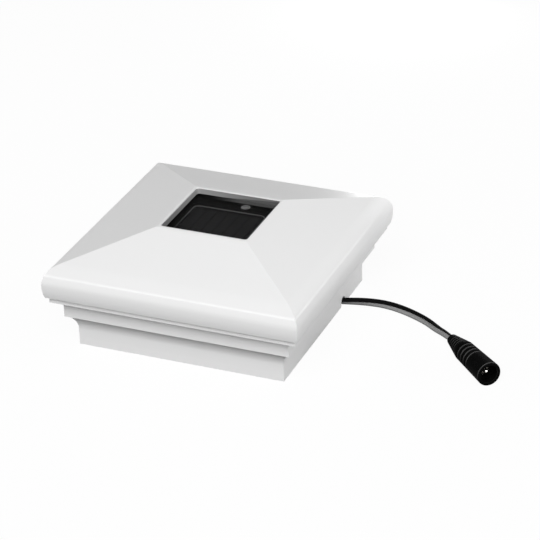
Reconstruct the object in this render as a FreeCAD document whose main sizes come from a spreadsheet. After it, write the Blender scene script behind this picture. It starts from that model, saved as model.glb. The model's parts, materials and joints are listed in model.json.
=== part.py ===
import FreeCAD, Part
import math
import os
import Sketcher

# Post cap light with a solar window: a white hip roof over a thin light strip, a
# collar that slips over a fence-post sleeve, the parts it holds, and its DC lead.
# Millimetres. Origin at the centre of the collar's lower edge, +Z up, -Y the front.

doc = FreeCAD.newDocument("post_cap_light")
sheet = doc.addObject("Spreadsheet::Sheet", "dims")
Vector = FreeCAD.Vector
UP = FreeCAD.Rotation()


# ---------------------------------------------------------------- sizes that carry a formula

class Size:
    """A number together with the sheet formula that gives it."""

    def __init__(self, number, formula=None):
        self.number = float(number)
        self.formula = formula if formula else "(%r)" % float(number)

    def __add__(self, other):
        other = as_size(other)
        return Size(self.number + other.number, "(%s + %s)" % (self.formula, other.formula))

    def __sub__(self, other):
        other = as_size(other)
        return Size(self.number - other.number, "(%s - %s)" % (self.formula, other.formula))

    def __mul__(self, other):
        other = as_size(other)
        return Size(self.number * other.number, "(%s * %s)" % (self.formula, other.formula))

    def __truediv__(self, other):
        other = as_size(other)
        return Size(self.number / other.number, "(%s / %s)" % (self.formula, other.formula))

    def __neg__(self):
        return Size(0) - self

    def __radd__(self, other):
        return as_size(other) + self

    def __rsub__(self, other):
        return as_size(other) - self

    def __rmul__(self, other):
        return as_size(other) * self


def as_size(value):
    return value if isinstance(value, Size) else Size(value)


def sine(angle):
    return Size(math.sin(math.radians(angle.number)), "sin(%s)" % angle.formula)


def cosine(angle):
    return Size(math.cos(math.radians(angle.number)), "cos(%s)" % angle.formula)


def tangent(angle):
    return Size(math.tan(math.radians(angle.number)), "tan(%s)" % angle.formula)


def size(alias, number):
    """Write one driving dimension into the sheet."""
    size.row += 1
    sheet.set("A%d" % size.row, alias)
    sheet.set("B%d" % size.row, "%r" % number)
    sheet.setAlias("B%d" % size.row, alias)
    return Size(number, "dims." + alias)


def level(alias, value):
    """Write a dimension that follows from others into the sheet."""
    size.row += 1
    sheet.set("A%d" % size.row, alias)
    sheet.set("B%d" % size.row, "=" + value.formula.replace("dims.", ""))
    sheet.setAlias("B%d" % size.row, alias)
    return Size(value.number, "dims." + alias)


size.row = 0

# Fits
flat_gap = size("flat_gap", 0.3)            # clearance between a piece and the pocket it drops into
screw_gap = size("screw_gap", 0.15)         # radial clearance of a screw in its hole
head_gap = size("head_gap", 0.3)            # radial clearance of a screw head in its counterbore
cut_reach = size("cut_reach", 5.0)          # crossed outlines run this far past the moulding

# Roof
rim_gap = size("rim_gap", 0.7)              # shadow gap between diffuser and rim
rim_out = size("rim_out", 1.4)              # rim's foot past the diffuser's foot
rim_bulge = size("rim_bulge", 1.0)          # widest line of the rim past its foot
rim_side_radius = size("rim_side_radius", 26.0)
rim_top_radius = size("rim_top_radius", 10.1)
roof_pitch = size("roof_pitch", 14.5)       # degrees
crown_margin = size("crown_margin", 1.3)    # flat strip round the window
rim_wall = size("rim_wall", 4.0)            # at the widest line
roof_wall = size("roof_wall", 3.2)
seat_inset = size("seat_inset", 0.1)        # rim's seat within the diffuser's upper edge
window_half = size("window_half", 22.8)
window_east_more = size("window_east_more", 1.0)  # more opening on the sensor's side
window_corner = size("window_corner", 1.6)
window_depth = size("window_depth", 2.2)    # from the crown down to the gasket
well_wall = size("well_wall", 2.4)

# Diffuser
lip_out = size("lip_out", 5.2)              # past the band
lip_draft = size("lip_draft", 0.3)
lip_low_z = size("lip_low_z", 27.05)
lip_thick = size("lip_thick", 2.25)
lip_rib_deep = size("lip_rib_deep", 2.4)

# Collar
socket_half = size("socket_half", 51.75)    # half of the square that takes the post sleeve
skirt_wall = size("skirt_wall", 3.25)
cove_low_z = size("cove_low_z", 9.0)
cove_radius = size("cove_radius", 10.0)
band_out = size("band_out", 5.0)            # past the skirt
band_low_z = size("band_low_z", 17.3)
band_ledge = size("band_ledge", 0.6)
band_wall = size("band_wall", 3.0)
core_floor_z = size("core_floor_z", 20.3)   # floor of the cored channel inside the band
socket_wall = size("socket_wall", 3.0)
lead_in = size("lead_in", 1.0)
lead_in_high = size("lead_in_high", 2.0)
crush_rib_wide = size("crush_rib_wide", 1.2)
crush_rib_deep = size("crush_rib_deep", 0.6)
crush_rib_place = size("crush_rib_place", 30.0)
crush_rib_low_z = size("crush_rib_low_z", 8.5)
crush_rib_short = size("crush_rib_short", 3.0)  # from the top of a rib up to the stop
stop_z = size("stop_z", 24.0)               # the post sleeve stops against the cover here
flange_thick = size("flange_thick", 2.8)
flange_wide = size("flange_wide", 7.75)     # from the socket's wall to the opening
flange_end_gap = size("flange_end_gap", 1.4)  # between the opening's ends and the door's pad

# Cover and its screws
cover_thick = size("cover_thick", 3.0)
cover_gasket_thick = size("cover_gasket_thick", 0.8)
cover_side_gap = size("cover_side_gap", 0.45)
cover_corner = size("cover_corner", 1.5)
corner_screw_inset = size("corner_screw_inset", 4.75)
corner_screw_radius = size("corner_screw_radius", 1.5)
corner_head_radius = size("corner_head_radius", 2.8)
corner_head_tall = size("corner_head_tall", 1.8)
corner_screw_long = size("corner_screw_long", 16.0)
boss_radius = size("boss_radius", 4.0)
head_sunk = size("head_sunk", 0.2)

# Window stack
gasket_thick = size("gasket_thick", 0.8)
gasket_reveal = size("gasket_reveal", 0.6)  # gasket edge that shows inside the window
gasket_side_gap = size("gasket_side_gap", 0.1)  # from the gasket's lip to the window's wall
gasket_lip_short = size("gasket_lip_short", 0.4)  # from the lip's edge up to the crown
lens_thick = size("lens_thick", 1.6)
well_fit = size("well_fit", 0.2)
well_margin = size("well_margin", 3.8)      # lens edge hidden under the roof on each side
tray_headroom = size("tray_headroom", 1.6)  # between battery bay and tray
tray_plate_thick = size("tray_plate_thick", 1.5)
tray_core_tall = size("tray_core_tall", 2.07)
tray_ear_end = size("tray_ear_end", 3.5)
tray_ear_wide = size("tray_ear_wide", 7.5)
tray_screw_out = size("tray_screw_out", 4.0)
tray_screw_y = size("tray_screw_y", 14.0)
tray_screw_radius = size("tray_screw_radius", 1.1)
tray_head_radius = size("tray_head_radius", 2.1)
tray_head_tall = size("tray_head_tall", 1.2)
tray_screw_long = size("tray_screw_long", 3.6)
panel_west_inset = size("panel_west_inset", 3.7)    # from the window's edges
panel_east_inset = size("panel_east_inset", 3.2)
panel_south_inset = size("panel_south_inset", 3.3)
panel_north_inset = size("panel_north_inset", 10.5)
panel_corner = size("panel_corner", 3.0)
panel_ledge = size("panel_ledge", 8.0)      # tray floor left round the hole for the panel's leads
panel_sunk = size("panel_sunk", 0.7)
panel_thick = size("panel_thick", 1.6)
cell_count = 6
cell_gap = size("cell_gap", 0.6)
cell_proud = size("cell_proud", 0.25)
cell_margin = size("cell_margin", 1.6)
photocell_x = size("photocell_x", 5.7)
photocell_inset = size("photocell_inset", 4.2)
photocell_radius = size("photocell_radius", 2.6)
photocell_thick = size("photocell_thick", 2.0)
photocell_leg_radius = size("photocell_leg_radius", 0.25)
photocell_leg_pitch = size("photocell_leg_pitch", 2.54)
photocell_leg_long = size("photocell_leg_long", 4.5)

# Light strips
rail_wide = size("rail_wide", 2.4)
rail_inset = size("rail_inset", 3.2)        # from the rim's inner wall to a rail's middle
rail_over_rim = size("rail_over_rim", 0.8)
rail_tall = size("rail_tall", 6.6)
strip_wide = size("strip_wide", 4.6)
strip_corner = size("strip_corner", 14.4)   # from a strip's end to the next strip's middle
strip_end = size("strip_end", 2.0)          # strip past the end of its rail
strip_thick = size("strip_thick", 1.0)
led_count = 5
led_pitch = size("led_pitch", 18.0)
led_long = size("led_long", 3.5)
led_wide = size("led_wide", 2.8)
led_tall = size("led_tall", 1.9)

# Battery bay
cell_radius = size("cell_radius", 9.1)
cell_long = size("cell_long", 65.0)
bay_y = size("bay_y", -20.0)
leaf_space = size("leaf_space", 3.2)        # room for the leaf spring behind the cell
cell_side_gap = size("cell_side_gap", 0.7)
bay_wall = size("bay_wall", 1.4)
cell_over_door = size("cell_over_door", 0.5)
bay_headroom = size("bay_headroom", 0.4)
door_end = size("door_end", 6.0)            # door past the bay at each end
door_side = size("door_side", 2.7)
door_corner = size("door_corner", 1.5)
door_thick = size("door_thick", 2.0)
door_seal_thick = size("door_seal_thick", 0.6)
door_pad_wall = size("door_pad_wall", 1.3)
door_pad_tall = size("door_pad_tall", 1.6)
door_screw_out = size("door_screw_out", 3.6)
door_grip_count = 5
door_grip_pitch = size("door_grip_pitch", 3.0)
door_grip_wide = size("door_grip_wide", 1.2)
door_grip_long = size("door_grip_long", 12.0)
door_grip_deep = size("door_grip_deep", 0.5)
door_screw_radius = size("door_screw_radius", 1.0)
door_head_radius = size("door_head_radius", 1.9)
door_head_tall = size("door_head_tall", 1.0)
door_screw_long = size("door_screw_long", 4.2)
button_radius = size("button_radius", 2.9)
button_tall = size("button_tall", 1.2)
contact_thick = size("contact_thick", 0.5)
contact_gap = size("contact_gap", 0.1)
contact_half = size("contact_half", 5.0)
contact_tall = size("contact_tall", 12.0)

# Control board
board_west = size("board_west", -40.0)
board_east = size("board_east", 4.0)
board_south = size("board_south", 2.0)
board_north = size("board_north", 34.0)
board_thick = size("board_thick", 1.6)
standoff_radius = size("standoff_radius", 2.6)
standoff_tall = size("standoff_tall", 4.0)
board_hole_inset = size("board_hole_inset", 3.2)
board_screw_radius = size("board_screw_radius", 1.1)
board_head_radius = size("board_head_radius", 2.1)
board_head_tall = size("board_head_tall", 1.3)
board_screw_long = size("board_screw_long", 5.0)
chip_long = size("chip_long", 5.0)
chip_wide = size("chip_wide", 4.0)
chip_tall = size("chip_tall", 1.6)
coil_out = size("coil_out", 11.0)           # from the middle of the board
coil_radius = size("coil_radius", 4.0)
coil_core_radius = size("coil_core_radius", 3.2)
coil_tall = size("coil_tall", 6.0)
coil_flange = size("coil_flange", 1.0)
capacitor_out = size("capacitor_out", 11.0)
capacitor_radius = size("capacitor_radius", 4.0)
capacitor_tall = size("capacitor_tall", 10.0)
wire_socket_count = 3
wire_socket_pitch = size("wire_socket_pitch", 9.0)
wire_socket_wide = size("wire_socket_wide", 6.0)
wire_socket_deep = size("wire_socket_deep", 5.0)
wire_socket_tall = size("wire_socket_tall", 4.5)
wire_socket_wall = size("wire_socket_wall", 0.8)
wire_socket_inset = size("wire_socket_inset", 1.5)

# Power switch
switch_x = size("switch_x", 31.0)
switch_y = size("switch_y", 12.0)
switch_travel = size("switch_travel", 2.0)
stem_long = size("stem_long", 2.0)
stem_wide = size("stem_wide", 1.8)
stem_tip_z = size("stem_tip_z", 24.8)
stem_side_gap = size("stem_side_gap", 0.3)
slider_long = size("slider_long", 4.2)
slider_wide = size("slider_wide", 2.6)
slider_tall = size("slider_tall", 1.6)
switch_wall = size("switch_wall", 0.9)
tab_pitch = size("tab_pitch", 2.5)
tab_wide = size("tab_wide", 0.8)
tab_thick = size("tab_thick", 0.4)
tab_long = size("tab_long", 3.0)
finger_long = size("finger_long", 14.0)
finger_wide = size("finger_wide", 9.0)
finger_deep = size("finger_deep", 1.5)

# Gland and lead
cord_radius = size("cord_radius", 2.25)
gland_x = size("gland_x", 13.6)
gland_y = size("gland_y", 9.4)
gland_neck_radius = size("gland_neck_radius", 3.6)
gland_flange_radius = size("gland_flange_radius", 5.0)
gland_flange_thick = size("gland_flange_thick", 1.2)
gland_nose_radius = size("gland_nose_radius", 3.2)
gland_nose_long = size("gland_nose_long", 1.2)  # below the cover's underside
gland_nut_tall = size("gland_nut_tall", 2.2)
gland_end = size("gland_end", 1.5)          # neck past the nut
notch_x = size("notch_x", 44.9)             # a point on the lead's line through the skirt
notch_y = size("notch_y", 23.9)
notch_heading = size("notch_heading", 15.66)  # degrees
notch_gap = size("notch_gap", 0.3)

# Connector
plug_long = size("plug_long", 40.2)
plug_tail_radius = size("plug_tail_radius", 2.75)
plug_cone_long = size("plug_cone_long", 13.4)
plug_radius = size("plug_radius", 5.3)      # at the cone's end, from where the body flares
plug_flare = size("plug_flare", 0.9)        # added to the radius at the mouth
plug_rim_radius = size("plug_rim_radius", 0.8)
mouth_wall = size("mouth_wall", 1.6)
mouth_deep = size("mouth_deep", 4.5)
mouth_step = size("mouth_step", 1.2)        # from the mouth in to the contact's bore
bore_deep = size("bore_deep", 10.5)
sleeve_wall = size("sleeve_wall", 0.35)
sleeve_front = size("sleeve_front", 2.5)
sleeve_back = size("sleeve_back", 1.0)
pin_radius = size("pin_radius", 1.05)
pin_sunk = size("pin_sunk", 3.0)
pin_root_radius = size("pin_root_radius", 2.5)
pin_root_long = size("pin_root_long", 1.5)
fine_groove_count = 4
fine_groove_start = size("fine_groove_start", 3.4)
fine_groove_pitch = size("fine_groove_pitch", 2.2)
fine_groove_wide = size("fine_groove_wide", 1.3)
fine_groove_deep = size("fine_groove_deep", 0.35)
grip_groove_count = 4
grip_groove_past = size("grip_groove_past", 1.9)  # from the cone's end to the first groove
grip_groove_pitch = size("grip_groove_pitch", 3.2)
grip_groove_wide = size("grip_groove_wide", 1.6)
grip_groove_deep = size("grip_groove_deep", 0.45)

# Hook-up wires inside
wire_radius = size("wire_radius", 0.55)
wire_apart = size("wire_apart", 1.0)        # from the middle of a pair to each wire
wire_bend_y = size("wire_bend_y", -4.0)     # where the pairs turn towards the sockets

# ---------------------------------------------------------------- sizes that follow

# Outwards from the post socket
socket_outer = level("socket_outer", socket_half + socket_wall)
skirt_half = level("skirt_half", socket_half + skirt_wall)
band_half = level("band_half", skirt_half + band_out)
lip_low_half = level("lip_low_half", band_half + lip_out)
lip_top_half = level("lip_top_half", lip_low_half - lip_draft)
seat_half = level("seat_half", lip_top_half - seat_inset)
rim_low_half = level("rim_low_half", lip_low_half + rim_out)
roof_half = level("roof_half", rim_low_half + rim_bulge)
cavity_half = level("cavity_half", roof_half - rim_wall)
rail_place = level("rail_place", cavity_half - rail_inset)
strip_half_long = level("strip_half_long", rail_place - strip_corner)
rail_half_long = level("rail_half_long", strip_half_long - strip_end)
cover_half = level("cover_half", socket_half - cover_side_gap)
flange_half = level("flange_half", socket_half - flange_wide)
corner_screw_place = level("corner_screw_place", socket_half - corner_screw_inset)

# Outwards from the window
crown_half = level("crown_half", window_half + crown_margin)
well_half = level("well_half", window_half + well_margin)
ceiling_half = level("ceiling_half", well_half + well_wall)
tray_screw_x = level("tray_screw_x", ceiling_half + tray_screw_out)
tray_ear_half = level("tray_ear_half", tray_screw_x + tray_ear_end)
panel_west = level("panel_west", panel_west_inset - window_half)
panel_east = level("panel_east", window_half - panel_east_inset)
panel_south = level("panel_south", panel_south_inset - window_half)
panel_north = level("panel_north", window_half - panel_north_inset)
photocell_y = level("photocell_y", window_half - photocell_inset)

# Outwards from the battery cell
bay_half_long = level("bay_half_long",
                      (cell_long + button_tall + contact_thick + contact_gap + leaf_space) / 2)
bay_half_wide = level("bay_half_wide", cell_radius + cell_side_gap)
door_half_long = level("door_half_long", bay_half_long + door_end)
door_half_wide = level("door_half_wide", bay_half_wide + door_side)
door_screw_x = level("door_screw_x", bay_half_long + door_screw_out)
pad_half_long = level("pad_half_long", door_half_long + flat_gap + door_pad_wall)
pad_half_wide = level("pad_half_wide", door_half_wide + flat_gap + door_pad_wall)
flange_end_half = level("flange_end_half", pad_half_long + flange_end_gap)

# Upwards from the post sleeve's stop, through the battery to the crown
lip_high_z = level("lip_high_z", lip_low_z + lip_thick)
rim_low_z = level("rim_low_z", lip_high_z + rim_gap)
cover_high_z = level("cover_high_z", stop_z + cover_thick)
flange_low_z = level("flange_low_z", cover_high_z + cover_gasket_thick)
flange_high_z = level("flange_high_z", flange_low_z + flange_thick)
board_low_z = level("board_low_z", cover_high_z + standoff_tall)
board_high_z = level("board_high_z", board_low_z + board_thick)
door_high_z = level("door_high_z", stop_z + door_thick)
cell_z = level("cell_z", door_high_z + cell_over_door + cell_radius)
bay_high_z = level("bay_high_z", cell_z + cell_radius + bay_headroom + bay_wall)
tray_low_z = level("tray_low_z", bay_high_z + tray_headroom)
well_low_z = level("well_low_z", tray_low_z + tray_plate_thick)
tray_high_z = level("tray_high_z", well_low_z + tray_core_tall)
lens_high_z = level("lens_high_z", tray_high_z + lens_thick)
gasket_high_z = level("gasket_high_z", lens_high_z + gasket_thick)
crown_z = level("crown_z", gasket_high_z + window_depth)

# Down the roof from the crown to the rim
slope_half = level("slope_half", roof_half - rim_top_radius + rim_top_radius * sine(roof_pitch))
slope_z = level("slope_z", crown_z - (slope_half - crown_half) * tangent(roof_pitch))
rim_wide_z = level("rim_wide_z", slope_z - rim_top_radius * cosine(roof_pitch))
rail_low_z = level("rail_low_z", rim_wide_z + rail_over_rim)
rail_high_z = level("rail_high_z", rail_low_z + rail_tall)

# Connector, which lies on the end of its cone and on the rim of its mouth
mouth_out = level("mouth_out", plug_radius + plug_flare)
mouth_radius = level("mouth_radius", mouth_out - mouth_wall)
bore_radius = level("bore_radius", mouth_radius - mouth_step)
tail_slope = level("tail_slope", (plug_radius - plug_tail_radius) / plug_cone_long)
flare_slope = level("flare_slope", plug_flare / (plug_long - plug_rim_radius - plug_cone_long))
plug_tail_z = level("plug_tail_z", plug_radius - flare_slope * plug_cone_long)
grip_groove_start = level("grip_groove_start", plug_cone_long + grip_groove_past)

# Wires
wire_z = level("wire_z", board_high_z + wire_socket_tall / 2)
wire_end_y = level("wire_end_y", board_south + wire_socket_inset + wire_socket_deep
                   - wire_socket_wall)
doc.recompute()


# ---------------------------------------------------------------- drawing helpers

def bind(thing, **sizes):
    """Tie properties to the sheet."""
    for name, value in sizes.items():
        thing.setExpression(name, as_size(value).formula)


def put(thing, x, y, z, turn=UP):
    """Place a thing, with its position tied to the sheet."""
    spots = [as_size(x), as_size(y), as_size(z)]
    thing.Placement = FreeCAD.Placement(Vector(*[s.number for s in spots]), turn)
    for axis, spot in zip("xyz", spots):
        thing.setExpression("Placement.Base." + axis, spot.formula)
    return thing


def block(name, x_span, y_span, z_span):
    """A box between two limits on each axis."""
    box = doc.addObject("Part::Box", name)
    spans = [(as_size(a), as_size(b)) for a, b in (x_span, y_span, z_span)]
    for side, (low, high) in zip(("Length", "Width", "Height"), spans):
        bind(box, **{side: high - low})
    return put(box, *[low for low, high in spans])


def square(name, half, low, high):
    """A square block centred on the vertical axis."""
    half = as_size(half)
    return block(name, (-half, half), (-half, half), (low, high))


def rod(name, x, y, low, high, radius):
    """An upright cylinder."""
    cylinder = doc.addObject("Part::Cylinder", name)
    bind(cylinder, Radius=radius, Height=as_size(high) - low)
    return put(cylinder, x, y, low)


def join(name, *things):
    union = doc.addObject("Part::MultiFuse", name)
    union.Shapes = list(things)
    union.Refine = True
    return union


def cut(name, base, *tools):
    result = doc.addObject("Part::Cut", name)
    result.Base = base
    result.Tool = tools[0] if len(tools) == 1 else join(name + "_tools", *tools)
    result.Refine = True
    return result


def group(name, things):
    """Separate solids that share one node."""
    compound = doc.addObject("Part::Compound", name)
    compound.Links = things
    return compound


def four_corners(x, y):
    return [(x, y), (-x, y), (-x, -y), (x, -y)]


def constrain_point(sketch, curve, end, x, y):
    """Hold one end of a curve at sheet-driven coordinates."""
    for spot, kind, axis in ((x, "DistanceX", -2), (y, "DistanceY", -1)):
        if abs(spot.number) < 1e-9:
            sketch.addConstraint(Sketcher.Constraint("PointOnObject", curve, end, axis))
            continue
        if spot.number > 0:
            limit = Sketcher.Constraint(kind, -1, 1, curve, end, spot.number)
        else:
            limit = Sketcher.Constraint(kind, curve, end, -1, 1, -spot.number)
            spot = -spot
        index = sketch.addConstraint(limit)
        sketch.setExpression("Constraints[%d]" % index, spot.formula)


def arc_middle(start, finish, radius, turn):
    """Midpoint of an arc; turn is +1 when it bulges to the right of the way travelled."""
    dx = finish[0] - start[0]
    dy = finish[1] - start[1]
    chord = math.hypot(dx, dy)
    rise = radius - math.sqrt(radius ** 2 - chord ** 2 / 4)
    return ((start[0] + finish[0]) / 2 + turn * dy / chord * rise,
            (start[1] + finish[1]) / 2 - turn * dx / chord * rise)


def draw_outline(sketch, corners):
    """Closed outline. A corner is (x, y) or (x, y, radius, turn) for an arc that starts there."""
    corners = [tuple(as_size(v) for v in c[:3]) + tuple(c[3:]) for c in corners]
    count = len(corners)
    ends = []
    for index, corner in enumerate(corners):
        follower = corners[(index + 1) % count]
        start = (corner[0].number, corner[1].number)
        finish = (follower[0].number, follower[1].number)
        forwards = len(corner) == 2 or corner[3] > 0
        ends.append((1, 2) if forwards else (2, 1))
        if len(corner) == 4:
            middle = arc_middle(start, finish, corner[2].number, corner[3])
            first, last = (start, finish) if forwards else (finish, start)
            curve = Part.Arc(Vector(*first, 0), Vector(*middle, 0), Vector(*last, 0))
        else:
            curve = Part.LineSegment(Vector(*start, 0), Vector(*finish, 0))
        sketch.addGeometry(curve)
    for index, corner in enumerate(corners):
        after = (index + 1) % count
        sketch.addConstraint(Sketcher.Constraint("Coincident", index, ends[index][1],
                                                 after, ends[after][0]))
        constrain_point(sketch, index, ends[index][0], corner[0], corner[1])
        if len(corner) == 4:
            place = sketch.addConstraint(Sketcher.Constraint("Radius", index, corner[2].number))
            sketch.setExpression("Constraints[%d]" % place, corner[2].formula)


def mirrored(half):
    """Whole symmetric outline from its right half, listed from the bottom to the top."""
    left = []
    for index in range(len(half) - 1, -1, -1):
        x, y = half[index][:2]
        bend = tuple(half[index - 1][2:]) if index else ()
        left.append((-as_size(x), y) + bend)
    return list(half) + left


def free_sketch(name, turn=UP):
    sketch = doc.addObject("Sketcher::SketchObject", name)
    sketch.Placement = FreeCAD.Placement(Vector(), turn)
    return sketch


def extrude(name, sketch, direction, forward, backward=0):
    solid = doc.addObject("Part::Extrusion", name)
    solid.Base = sketch
    solid.DirMode = "Custom"
    solid.Dir = direction
    solid.Solid = True
    bind(solid, LengthFwd=forward, LengthRev=backward)
    return solid


UPRIGHT = FreeCAD.Rotation(Vector(1, 0, 0), 90)
QUARTER = FreeCAD.Rotation(Vector(0, 0, 1), 90)


def mitred(name, half_outline, reach):
    """The solid whose front and side views are both this outline: a square, mitred moulding."""
    crossing = []
    for view, turn in (("front", UP), ("side", QUARTER)):
        sketch = free_sketch(name + "_" + view + "_outline", turn.multiply(UPRIGHT))
        draw_outline(sketch, mirrored(half_outline))
        direction = turn.multVec(Vector(0, 1, 0))
        crossing.append(extrude(name + "_" + view, sketch, direction, reach, reach))
    result = doc.addObject("Part::MultiCommon", name)
    result.Shapes = crossing
    result.Refine = True
    return result


def plate(name, west, east, south, north, radius, low, high):
    """A rectangular plate with rounded corners."""
    west, east, south, north, radius = [as_size(v) for v in (west, east, south, north, radius)]
    sketch = free_sketch(name + "_outline")
    sketch.Placement = FreeCAD.Placement()
    draw_outline(sketch, [
        (west + radius, south), (east - radius, south, radius, 1),
        (east, south + radius), (east, north - radius, radius, 1),
        (east - radius, north), (west + radius, north, radius, 1),
        (west, north - radius), (west, south + radius, radius, 1)])
    low = as_size(low)
    sketch.setExpression("Placement.Base.z", low.formula)
    return extrude(name, sketch, Vector(0, 0, 1), as_size(high) - low)


def square_plate(name, half, radius, low, high):
    half = as_size(half)
    return plate(name, -half, half, -half, half, radius, low, high)


def window_plate(name, inset, low, high):
    """A plate to the window's outline, drawn in by the inset on every side."""
    side = window_half - inset
    return plate(name, -side, side + window_east_more, -side, side, window_corner, low, high)


def screw(name, x, y, head_low, shank_radius, head_radius, head_tall, long):
    """A screw driven upwards: pan head below, shank above."""
    head_low = as_size(head_low)
    head = rod(name + "_head", x, y, head_low, head_low + head_tall, head_radius)
    shank = rod(name + "_shank", x, y, head_low + head_tall,
                head_low + head_tall + long, shank_radius)
    return join(name, head, shank)


# ---------------------------------------------------------------- roof

def make_roof_shell():
    """Hip roof with a bullnose rim, a square window well, bosses and light-strip rails."""
    outside = mitred("roof_outside", [
        (rim_low_half, rim_low_z, rim_side_radius, 1),
        (roof_half, rim_wide_z, rim_top_radius, 1),
        (slope_half, slope_z),
        (crown_half, crown_z)], roof_half + cut_reach)
    seat = square("roof_seat", seat_half, lip_high_z, rim_low_z + 1)

    slope_drop = roof_wall / cosine(roof_pitch)
    line_z = crown_z - slope_drop - (cavity_half - crown_half) * tangent(roof_pitch)
    inner_radius = ((line_z - rim_wide_z)
                    / (cosine(roof_pitch) - (1 - sine(roof_pitch)) * tangent(roof_pitch)))
    inner_half = cavity_half - inner_radius * (1 - sine(roof_pitch))
    inner_z = rim_wide_z + inner_radius * cosine(roof_pitch)
    ceiling_z = crown_z - slope_drop - (ceiling_half - crown_half) * tangent(roof_pitch)
    cavity = mitred("roof_cavity", [
        (cavity_half, lip_low_z),
        (cavity_half, rim_wide_z, inner_radius, 1),
        (inner_half, inner_z),
        (ceiling_half, ceiling_z)], roof_half + cut_reach)
    hollow = cut("roof_hollow", join("roof_solid", outside, seat), cavity)

    additions = [square("well_block", ceiling_half, well_low_z, ceiling_z + 1)]
    boss_high = (crown_z - roof_wall
                 - (corner_screw_place - crown_half) * tangent(roof_pitch) + 1)
    for number, (x, y) in enumerate(four_corners(corner_screw_place, corner_screw_place)):
        additions.append(rod("corner_boss_%d" % number, x, y, flange_high_z,
                             boss_high, boss_radius))
    tray_boss_high = (crown_z - roof_wall
                      - (tray_screw_x - crown_half) * tangent(roof_pitch) + 1)
    for number, (x, y) in enumerate(four_corners(tray_screw_x, tray_screw_y)):
        additions.append(rod("tray_boss_%d" % number, x, y, well_low_z,
                             tray_boss_high, tray_ear_wide / 2))
    for number, (along, side) in enumerate(side_places()):
        additions.append(strip_block("rail_%d" % number, along, side, -rail_half_long,
                                     rail_half_long, rail_wide, rail_low_z, rail_high_z))

    removals = [
        square_plate("window_well", well_half, window_corner, well_low_z - 1, gasket_high_z),
        window_plate("window_hole", 0, gasket_high_z - 1, crown_z + 1)]
    for number, (x, y) in enumerate(four_corners(corner_screw_place, corner_screw_place)):
        removals.append(rod("corner_pilot_%d" % number, x, y, flange_high_z - 1,
                            flange_high_z + corner_screw_long - 2,
                            corner_screw_radius + screw_gap))
    for number, (x, y) in enumerate(four_corners(tray_screw_x, tray_screw_y)):
        removals.append(rod("tray_pilot_%d" % number, x, y, well_low_z - 1,
                            well_low_z + tray_screw_long - tray_plate_thick + 0.5,
                            tray_screw_radius + screw_gap))
    return cut("roof_shell", join("roof_with_bosses", hollow, *additions), *removals)


# ---------------------------------------------------------------- window stack

def make_window_gasket():
    """Seal between lens and roof, with a lip that stands up and lines the window's wall."""
    ring = square_plate("gasket_plate", well_half - well_fit, window_corner,
                        lens_high_z, gasket_high_z)
    lip = window_plate("gasket_lip", gasket_side_gap, lens_high_z, crown_z - gasket_lip_short)
    hole = window_plate("gasket_hole", gasket_reveal, lens_high_z - 1, crown_z + 1)
    return cut("window_gasket", join("gasket_solid", ring, lip), hole)


def make_window_lens():
    return square_plate("window_lens", well_half - well_fit, window_corner,
                        tray_high_z, lens_high_z)


def make_panel_tray():
    """Carrier that presses the window stack up into the roof and frames the panel."""
    core = square_plate("tray_core", well_half - well_fit, window_corner, tray_low_z, tray_high_z)
    ears = []
    for number, side in enumerate((1, -1)):
        ears.append(block("tray_ear_%d" % number, (-tray_ear_half, tray_ear_half),
                          (tray_screw_y * side - tray_ear_wide / 2,
                           tray_screw_y * side + tray_ear_wide / 2),
                          (tray_low_z, well_low_z)))
    floor_z = tray_high_z - panel_sunk - panel_thick
    pocket = plate("panel_pocket", panel_west, panel_east, panel_south, panel_north,
                   panel_corner, floor_z, tray_high_z + 1)
    lead_hole = block("panel_lead_hole", (panel_west + panel_ledge, panel_east - panel_ledge),
                      (panel_south + panel_ledge, panel_north - panel_ledge),
                      (tray_low_z - 1, floor_z + 1))
    sensor_hole = rod("sensor_hole", photocell_x, photocell_y, tray_low_z - 1,
                      tray_high_z + 1, photocell_radius + flat_gap / 2)
    holes = [rod("tray_hole_%d" % number, x, y, tray_low_z - 1, well_low_z + 1,
                 tray_screw_radius + screw_gap)
             for number, (x, y) in enumerate(four_corners(tray_screw_x, tray_screw_y))]
    return cut("panel_tray", join("tray_solid", core, *ears),
               pocket, lead_hole, sensor_hole, *holes)


def make_solar_panel():
    """Laminate with a row of separate cell strips."""
    top = tray_high_z - panel_sunk
    low = top - panel_thick
    base = plate("panel_base", panel_west + flat_gap, panel_east - flat_gap,
                 panel_south + flat_gap, panel_north - flat_gap,
                 panel_corner - flat_gap, low, top)
    span = panel_east - panel_west - 2 * cell_margin - 2 * flat_gap
    cell_wide = (span - (cell_count - 1) * cell_gap) / cell_count
    strips = []
    for number in range(cell_count):
        west = panel_west + flat_gap + cell_margin + number * (cell_wide + cell_gap)
        strips.append(block("cell_strip_%d" % number, (west, west + cell_wide),
                            (panel_south + flat_gap + cell_margin,
                             panel_north - flat_gap - cell_margin),
                            (top - 0.2, top + cell_proud)))
    return join("solar_panel", base, *strips)


def make_photocell():
    top = tray_high_z - flat_gap
    disc = rod("photocell_disc", photocell_x, photocell_y, top - photocell_thick, top,
               photocell_radius)
    legs = [rod("photocell_leg_%d" % number, photocell_x + side * photocell_leg_pitch / 2,
                photocell_y, top - photocell_thick - photocell_leg_long,
                top - photocell_thick + 0.1, photocell_leg_radius)
            for number, side in enumerate((1, -1))]
    return join("photocell", disc, *legs)


def make_tray_screws():
    low = tray_low_z - tray_head_tall
    return group("tray_screws", [
        screw("tray_screw_%d" % number, x, y, low, tray_screw_radius,
              tray_head_radius, tray_head_tall, tray_screw_long)
        for number, (x, y) in enumerate(four_corners(tray_screw_x, tray_screw_y))])


# ---------------------------------------------------------------- light strip

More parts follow.
